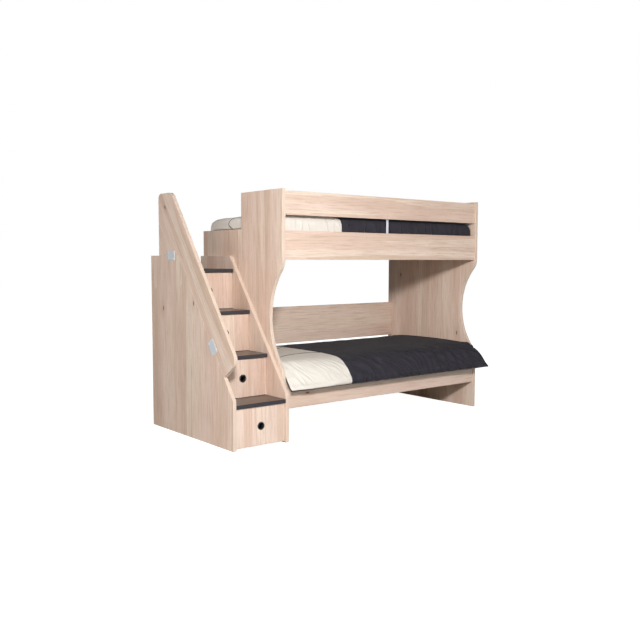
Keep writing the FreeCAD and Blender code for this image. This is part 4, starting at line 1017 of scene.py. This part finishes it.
# %% [markdown]
# Bed linen is cotton sateen: a close weave with more threads on the face, matt from the front, with a faint
# sheen at low angles. The two duvets are sewn from a cream head part and a charcoal foot part. Real threads
# are 0.3 mm apart, far too fine to show, so the weave is drawn at 2.4 mm, with painted shade in the hollows
# between the threads. Pressed creases, finer than the cloth step can fold, lean across the hanging part:
# they are relief in the finish, along the lines where a noise passes its middle value, and they fade out on
# the flat top and in the cream part.

# %% Cotton sateen
THREAD_PITCH = 2.4
WEAVE_PAINTED_SHADE, WEAVE_AMOUNT = "#1E1C20", 0.14
WEAVE_RELIEF, WEAVE_RELIEF_SHARE = 0.25, 0.6
MOTTLE_SIZE, MOTTLE_DETAIL, MOTTLE_RANGE = 90, 3.0, (0.3, 0.7)
CREASE_SIZE, CREASE_DEPTH = (300, 75), 8
CREASE_DETAIL, CREASE_BEND = 1.0, 0.4
CREST_MIDDLE, CREST_REACH = 0.5, 0.10
FLAT_CREASE_SHARE, HEAD_CREASE_SHARE = 0.2, 0.3


def creases(tree, cut, down, is_foot, lean, reach):
    """Relief of pressed creases that lean by an angle, and show where the cloth hangs, within a reach."""
    turned = add(tree, "ShaderNodeMapping", {
        "Vector": cut, "Rotation": (0.0, 0.0, math.radians(lean) - RIGHT_ANGLE)})
    sized = add(tree, "ShaderNodeMapping", {
        "Vector": turned.outputs[0], "Scale": pattern_scale(*CREASE_SIZE)})
    cloud = add(tree, "ShaderNodeTexNoise", noise_dimensions="2D", inputs={
        "Vector": sized.outputs[0], "Scale": 1.0, "Detail": CREASE_DETAIL, "Distortion": CREASE_BEND})
    off = add(tree, "ShaderNodeMath", {0: cloud.outputs["Fac"], 1: CREST_MIDDLE}, operation="SUBTRACT")
    away = add(tree, "ShaderNodeMath", {0: off.outputs[0]}, operation="ABSOLUTE")
    crest = add(tree, "ShaderNodeMapRange", interpolation_type="SMOOTHSTEP", inputs={
        0: away.outputs[0], 1: 0.0, 2: CREST_REACH, 3: 1.0, 4: 0.0})
    hanging = add(tree, "ShaderNodeMapRange", {
        0: down, 1: reach[0], 2: reach[1], 3: FLAT_CREASE_SHARE, 4: 1.0})
    part = add(tree, "ShaderNodeMapRange", {0: is_foot, 1: 0.0, 2: 1.0, 3: HEAD_CREASE_SHARE, 4: 1.0})
    share = add(tree, "ShaderNodeMath", {0: hanging.outputs[0], 1: part.outputs[0]}, operation="MULTIPLY")
    height = add(tree, "ShaderNodeMath", {0: crest.outputs[0], 1: share.outputs[0]}, operation="MULTIPLY")
    return add(tree, "ShaderNodeBump", {
        "Height": height.outputs[0], "Strength": 1.0, "Distance": CREASE_DEPTH * MM}).outputs[0]


def cotton_sateen(name, head, foot, seam, lean, reach):
    """Cotton sateen in two colours that meet at a seam, a distance in metres along the flat cut."""
    material, tree, shader = new_finish(name, Roughness=0.85, IOR=1.46, Specular_IOR_Level=0.05,
                                        Sheen_Weight=0.03, Sheen_Roughness=0.5)
    cut = add(tree, "ShaderNodeUVMap", uv_map="flat_cut")
    flat = add(tree, "ShaderNodeSeparateXYZ", {0: cut.outputs[0]})
    is_foot = add(tree, "ShaderNodeMath", {0: flat.outputs["X"], 1: seam}, operation="GREATER_THAN")
    mottle = add(tree, "ShaderNodeTexNoise", {
        "Vector": cut.outputs[0], "Scale": 1 / (MOTTLE_SIZE * MM), "Detail": MOTTLE_DETAIL})
    tones = [add(tree, "ShaderNodeValToRGB", {0: mottle.outputs["Fac"]}, list(zip(MOTTLE_RANGE, pair)))
             for pair in (head, foot)]
    colour = add(tree, "ShaderNodeMix", data_type="RGBA", inputs={
        FACTOR: is_foot.outputs[0], FIRST: tones[0].outputs[0], SECOND: tones[1].outputs[0]})
    half_pitch = THREAD_PITCH * MM / 2
    threads = [add(tree, "ShaderNodeMath", operation="PINGPONG", inputs={
        0: flat.outputs[axis], 1: half_pitch}) for axis in ("X", "Y")]
    weave = add(tree, "ShaderNodeMath", {0: threads[0].outputs[0], 1: threads[1].outputs[0]},
                operation="MAXIMUM").outputs[0]
    # Darker where both thread lines run low, at the hollows of the relief: painted shade in the weave.
    woven = tinted(tree, colour.outputs[MIXED], WEAVE_PAINTED_SHADE, weave, (half_pitch, 0.0), WEAVE_AMOUNT)
    folded = creases(tree, cut.outputs[0], flat.outputs["Y"], is_foot.outputs[0], lean, reach)
    relief = add(tree, "ShaderNodeBump", {
        "Height": weave, "Strength": WEAVE_RELIEF, "Distance": WEAVE_RELIEF_SHARE, "Normal": folded})
    feed(tree, shader, Base_Color=woven, Normal=relief.outputs[0])
    return material


CREAM, CHARCOAL = ("#E4DDD3", "#EAE4DB"), ("#36343A", "#3C3A41")
lower_seam = (LOWER_SEAM_X - LOWER_ENDS[0]) * MM
upper_seam = (END_SKIRT + END_ROLL * (math.pi / 2 - 1) + UPPER_SEAM_X - UPPER_ENDS[0]) * MM
lower_cotton = cotton_sateen("cotton_sateen_lower", CREAM, CHARCOAL, lower_seam, lean=38, reach=(0.72, 0.92))
upper_cotton = cotton_sateen("cotton_sateen_upper", CREAM, CHARCOAL, upper_seam, lean=0, reach=(0.95, 1.1))
print("seams at", round(lower_seam, 3), "and", round(upper_seam, 3), "m of the flat cut")

# %% [markdown]
# Mattress ticking is a thicker cloth, an off-white damask with a woven diamond figure. Two folded waves that
# are turned by half a right angle give the diamonds on every side of the mattress. The narrow lines between
# the diamonds, where the relief is lowest, are darkened with painted shade.

# %% Damask ticking
TICKING_PITCH = 28
TICKING_TONES_AND_GROOVE_SHADE = [(0.0, "#C9C2B5"), (0.10, "#E2DCD0"), (0.5, "#ECE7DC")]
TICKING_FOLD = 0.5
TICKING_RELIEF, TICKING_RELIEF_DEPTH = 0.4, 3


def damask_ticking(name):
    """Off-white damask with a small woven diamond, quilted, so it catches light unevenly; painted shade in the
    grooves.
    """
    material, tree, shader = new_finish(name, Roughness=0.85, IOR=1.46, Sheen_Weight=0.2)
    where = add(tree, "ShaderNodeTexCoord")
    turned = add(tree, "ShaderNodeMapping", {
        "Vector": where.outputs["Object"], "Rotation": (RIGHT_ANGLE / 2,) * 3,
        "Scale": pattern_scale(TICKING_PITCH, TICKING_PITCH)})
    axes = add(tree, "ShaderNodeSeparateXYZ", {0: turned.outputs[0]})
    folds = [add(tree, "ShaderNodeMath", {0: axes.outputs[axis], 1: TICKING_FOLD}, operation="PINGPONG")
             for axis in ("X", "Y")]
    figure = add(tree, "ShaderNodeMath", {0: folds[0].outputs[0], 1: folds[1].outputs[0]},
                 operation="MINIMUM")
    # Darkest along the grooves between the diamonds, where the relief is lowest: painted shade.
    tone = add(tree, "ShaderNodeValToRGB", {0: figure.outputs[0]}, TICKING_TONES_AND_GROOVE_SHADE)
    relief = add(tree, "ShaderNodeBump", {
        "Height": figure.outputs[0], "Strength": TICKING_RELIEF, "Distance": TICKING_RELIEF_DEPTH * MM})
    feed(tree, shader, Base_Color=tone.outputs[0], Normal=relief.outputs[0])
    return material


ticking = damask_ticking("damask_ticking")
print("ticking diamonds", TICKING_PITCH, "mm")

# %% [markdown]
# The four soft pieces now stand in for their plain CAD solids, which are hidden.

# %% Make up the beds
LOWER_THICKNESS, UPPER_THICKNESS = 24, 10
DUVET_FILL, MATTRESS_FILL = 0.4, 0.9

lower_duvet = quilt_body("lower_duvet_quilt", lower_sheet, lower_start, LOWER_THICKNESS, lower_cotton)
upper_duvet = quilt_body("upper_duvet_quilt", upper_sheet, upper_start, UPPER_THICKNESS, upper_cotton)
for piece in mattresses.values():
    piece.data.materials.append(ticking)
for piece, node, slot, fill in (
        (lower_duvet, "lower_duvet", "duvet_cotton", DUVET_FILL),
        (upper_duvet, "upper_duvet", "duvet_cotton", DUVET_FILL),
        (mattresses["lower_mattress"], "lower_mattress", "mattress_ticking", MATTRESS_FILL),
        (mattresses["upper_mattress"], "upper_mattress", "mattress_ticking", MATTRESS_FILL)):
    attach(piece, "bed")
    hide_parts(node)
    print(piece.name, "faces", len(piece.data.polygons), "for", node)

# %% [markdown]
# Cords and stitches repeat along a line, which is work for Geometry Nodes. One tree sweeps a round cord along
# a line: it makes the piping, the bound hem and the taped mattress edges. Another sets stitches at an even
# pitch. A tree is run on a line of points, and its result is kept as a plain mesh.

# %% Build and run a tree


def new_tree(name, sizes):
    """An empty geometry tree with named inputs, and its input node."""
    tree = bpy.data.node_groups.new(name, "GeometryNodeTree")
    tree.interface.new_socket("Geometry", in_out="INPUT", socket_type="NodeSocketGeometry")
    for label, kind in sizes.items():
        tree.interface.new_socket(label, in_out="INPUT", socket_type=kind)
    tree.interface.new_socket("Geometry", in_out="OUTPUT", socket_type="NodeSocketGeometry")
    return tree, add(tree, "NodeGroupInput").outputs


def close_tree(tree, geometry, finish):
    """Ends a tree: instances made real, shaded smooth, with their finish."""
    real = add(tree, "GeometryNodeRealizeInstances", {0: geometry})
    smooth = add(tree, "GeometryNodeSetShadeSmooth", {"Geometry": real.outputs[0]})
    painted = add(tree, "GeometryNodeSetMaterial", {"Geometry": smooth.outputs[0], "Material": finish})
    add(tree, "NodeGroupOutput", {0: painted.outputs[0]})
    print("tree", tree.name, "has", len(tree.nodes), "nodes")


def run_tree(tree, name, points, values, closed=False):
    """Runs a tree on a line of points and keeps the result as a plain mesh piece."""
    last = len(points) - 1
    links = [(k, k + 1) for k in range(last)] + ([(last, 0)] if closed else [])
    mesh = bpy.data.meshes.new(name)
    mesh.from_pydata([tuple(p) for p in points], links, [])
    carrier = bpy.data.objects.new(name + "_line", mesh)
    bpy.context.scene.collection.objects.link(carrier)
    modifier = carrier.modifiers.new(tree.name, "NODES")
    modifier.node_group = tree
    for socket in tree.interface.items_tree:
        if socket.in_out == "INPUT" and socket.name in values:
            modifier[socket.identifier] = values[socket.name]
    seen = carrier.evaluated_get(bpy.context.evaluated_depsgraph_get())
    result = bpy.data.meshes.new_from_object(seen)
    bpy.data.objects.remove(carrier)
    piece = bpy.data.objects.new(name, result)
    bpy.context.scene.collection.objects.link(piece)
    return piece


print("ready to build and run trees")

# %% Two trees for sewn lines
BEAD_SEGMENTS, BEAD_RINGS = 6, 4

cord_tree, cord_in = new_tree("sewn_cord", {
    "Cord radius": "NodeSocketFloat", "Sides": "NodeSocketInt", "Finish": "NodeSocketMaterial"})
cord_line = add(cord_tree, "GeometryNodeMeshToCurve", {0: cord_in["Geometry"]})
cord_round = add(cord_tree, "GeometryNodeCurvePrimitiveCircle", {
    "Resolution": cord_in["Sides"], "Radius": cord_in["Cord radius"]})
cord_swept = add(cord_tree, "GeometryNodeCurveToMesh", {
    "Curve": cord_line.outputs[0], "Profile Curve": cord_round.outputs[0], "Fill Caps": True})
close_tree(cord_tree, cord_swept.outputs[0], cord_in["Finish"])

stitch_tree, stitch_in = new_tree("stitch_row", {
    "Pitch": "NodeSocketFloat", "Half stitch": "NodeSocketFloat", "Thread radius": "NodeSocketFloat",
    "Finish": "NodeSocketMaterial"})
stitch_line = add(stitch_tree, "GeometryNodeMeshToCurve", {0: stitch_in["Geometry"]})
stitch_marks = add(stitch_tree, "GeometryNodeCurveToPoints", mode="LENGTH", inputs={
    "Curve": stitch_line.outputs[0], "Length": stitch_in["Pitch"]})
stitch_bead = add(stitch_tree, "GeometryNodeMeshUVSphere", {
    "Segments": BEAD_SEGMENTS, "Rings": BEAD_RINGS, "Radius": 1.0})
stitch_size = add(stitch_tree, "ShaderNodeCombineXYZ", {
    "X": stitch_in["Thread radius"], "Y": stitch_in["Thread radius"], "Z": stitch_in["Half stitch"]})
stitches_set = add(stitch_tree, "GeometryNodeInstanceOnPoints", {
    "Points": stitch_marks.outputs["Points"], "Instance": stitch_bead.outputs["Mesh"],
    "Rotation": stitch_marks.outputs["Rotation"], "Scale": stitch_size.outputs[0]})
close_tree(stitch_tree, stitches_set.outputs[0], stitch_in["Finish"])

# %% [markdown]
# A sewn line follows the settled cover, not the bed, so it is written as spots on the cover's grid. A smooth
# curve goes through the spots, and each of its points is read from the cover between four grid points.

# %% Find lines on a cover
LINE_STEP = 6
LAST_CELL = 1.001


def on_cover(sheet, row, column):
    """Points of the cover between its grid points, at fractions of rows and columns."""
    row = np.clip(row, 0, sheet.shape[0] - LAST_CELL)
    column = np.clip(column, 0, sheet.shape[1] - LAST_CELL)
    r, c = row.astype(int), column.astype(int)
    a, b = (row - r)[:, None], (column - c)[:, None]
    rear = sheet[r, c] * (1 - b) + sheet[r, c + 1] * b
    front = sheet[r + 1, c] * (1 - b) + sheet[r + 1, c + 1] * b
    return rear * (1 - a) + front * a


def nearest_spot(sheet, point):
    """Row and column of the cover's grid point nearest to a place."""
    return np.unravel_index(np.argmin(np.linalg.norm(sheet - np.array(point), axis=2)), sheet.shape[:2])


def sewn_line(sheet, spots, lift=0.0):
    """A smooth line on the cover through spots of row and column, lifted off the cloth, in the frame."""
    spots = np.array(spots, float)
    _, length = even_points(spots, 2)
    steps = np.arange(len(spots))
    fine = np.linspace(0, steps[-1], max(int(length * GRID_STEP / LINE_STEP), 2))
    left = np.clip(fine.astype(int), 0, len(spots) - 2)
    t = (fine - left)[:, None]
    slopes = np.gradient(spots, axis=0)
    line = ((2 * t ** 3 - 3 * t ** 2 + 1) * spots[left] + (t ** 3 - 2 * t ** 2 + t) * slopes[left]
            + (3 * t ** 2 - 2 * t ** 3) * spots[left + 1] + (t ** 3 - t ** 2) * slopes[left + 1])
    lifted = on_cover(sheet, *line.T) + lift * on_cover(outward_of(sheet), *line.T)
    return [place(*p) for p in lifted]


def hem_spots(sheet, inset):
    """Spots along the left end, the hem and the right end of a cover, some grid steps inside its edge."""
    last_row, last_column = sheet.shape[0] - 1 - inset, sheet.shape[1] - 1 - inset
    return ([(row, inset) for row in np.arange(inset, last_row, 1)]
            + [(last_row, column) for column in np.arange(inset, last_column, 1)]
            + [(row, last_column) for row in np.arange(last_row, inset, -1)])


print("hem of the lower duvet passes", len(hem_spots(lower_sheet, 0)), "grid points")

# %% [markdown]
# The seamstress's lines: a charcoal binding round the hem of the lower duvet, a row of stitches beside it on
# the charcoal part, thin piping across the cream parts as the photograph shows it, and a tape round each
# mattress edge. The tape lies a little inside the edge, so the duvet clears it.

# %% Sew the duvets
BINDING_RADIUS, PIPING_RADIUS = 4.5, 2.6
CORD_SIDES = 8
STITCH_PITCH, STITCH_LENGTH, THREAD_RADIUS = 13, 8, 1.1
STITCH_ROW = 2.5
LOWER_PIPING = [
    [(30, 175), (105, 205), (208, 262), (300, 292), (400, 300), (470, 285), (545, 262)],
    [(30, 330), (150, 420), (280, 520), (377, 603), (431, 646), (545, 742)],
]
UPPER_PIPING = [(32, 648, 1408), (32, 686, 1440), (36, 678, 1466), (52, 643, 1485), (66, 591, 1489),
                (90, 480, 1490)]
binding_cotton = pebbled_surface("charcoal_cotton_binding", "#302E34", "#232227", 1.6, 0.3,
                                 Roughness=0.75, IOR=1.46, Sheen_Weight=0.3)


def sewn_cord(name, points, radius, finish, closed=False):
    """A round cord of a radius in millimetres along a line."""
    return run_tree(cord_tree, name, points, {
        "Cord radius": radius * MM, "Sides": CORD_SIDES, "Finish": finish}, closed)


hem_half = LOWER_THICKNESS * HEM_SHARE / 2
binding = sewn_line(lower_sheet, hem_spots(lower_sheet, 0), -hem_half)
sewn = [sewn_cord("lower_hem_binding", binding, BINDING_RADIUS, binding_cotton)]
stitch_spots = [(row, column) for row, column in hem_spots(lower_sheet, STITCH_ROW)
                if lower_start[int(row), int(column), 0] > LOWER_SEAM_X]
sewn.append(run_tree(stitch_tree, "lower_hem_stitches", sewn_line(lower_sheet, stitch_spots), {
    "Pitch": STITCH_PITCH * MM, "Half stitch": STITCH_LENGTH * MM / 2, "Thread radius": THREAD_RADIUS * MM,
    "Finish": binding_cotton}))
piped = [(lower_sheet, [nearest_spot(lower_sheet, (x, y, LOWER_TOP + LOWER_CROWN)) for x, y in line])
         for line in LOWER_PIPING]
piped.append((upper_sheet, [nearest_spot(upper_sheet, point) for point in UPPER_PIPING]))
for number, (sheet, spots) in enumerate(piped, 1):
    sewn.append(sewn_cord(f"piping_{number}", sewn_line(sheet, spots), PIPING_RADIUS, binding_cotton))
print("sewn so far", [piece.name for piece in sewn])

# %% Tape the mattress edges
TAPE_RADIUS, TAPE_INSET = 3.0, 8
tape_cotton = pebbled_surface("twill_tape", "#DDD6C8", "#CFC7B8", 1.6, 0.3, Roughness=0.8, IOR=1.46)


def edge_loop(node, level):
    """The line where the tape is sewn: round the mattress at one level, as points of the frame."""
    half, middle = mattress_room(node)
    half = half - TAPE_INSET
    turn = np.linspace(-1, 1, 2 * MATTRESS_CUTS)[:-1]
    run = np.sin(turn * math.pi / 2)
    one = np.ones_like(run)
    x = np.concatenate([run, one, -run, -one]) * half[0]
    y = np.concatenate([-one, run, one, -run]) * half[1]
    x, y, _ = plan_rounded(x, y, half[0], half[1])
    z = level * half[2]
    return [place(middle[0] + a, middle[1] + b, middle[2] + z) for a, b in zip(x, y)]


for node in mattresses:
    for label, level in (("top", 1), ("bottom", -1)):
        sewn.append(sewn_cord(f"{node}_{label}_tape", edge_loop(node, level), TAPE_RADIUS, tape_cotton, True))
for piece in sewn:
    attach(piece, "bed")
    print(piece.name, "faces", len(piece.data.polygons))
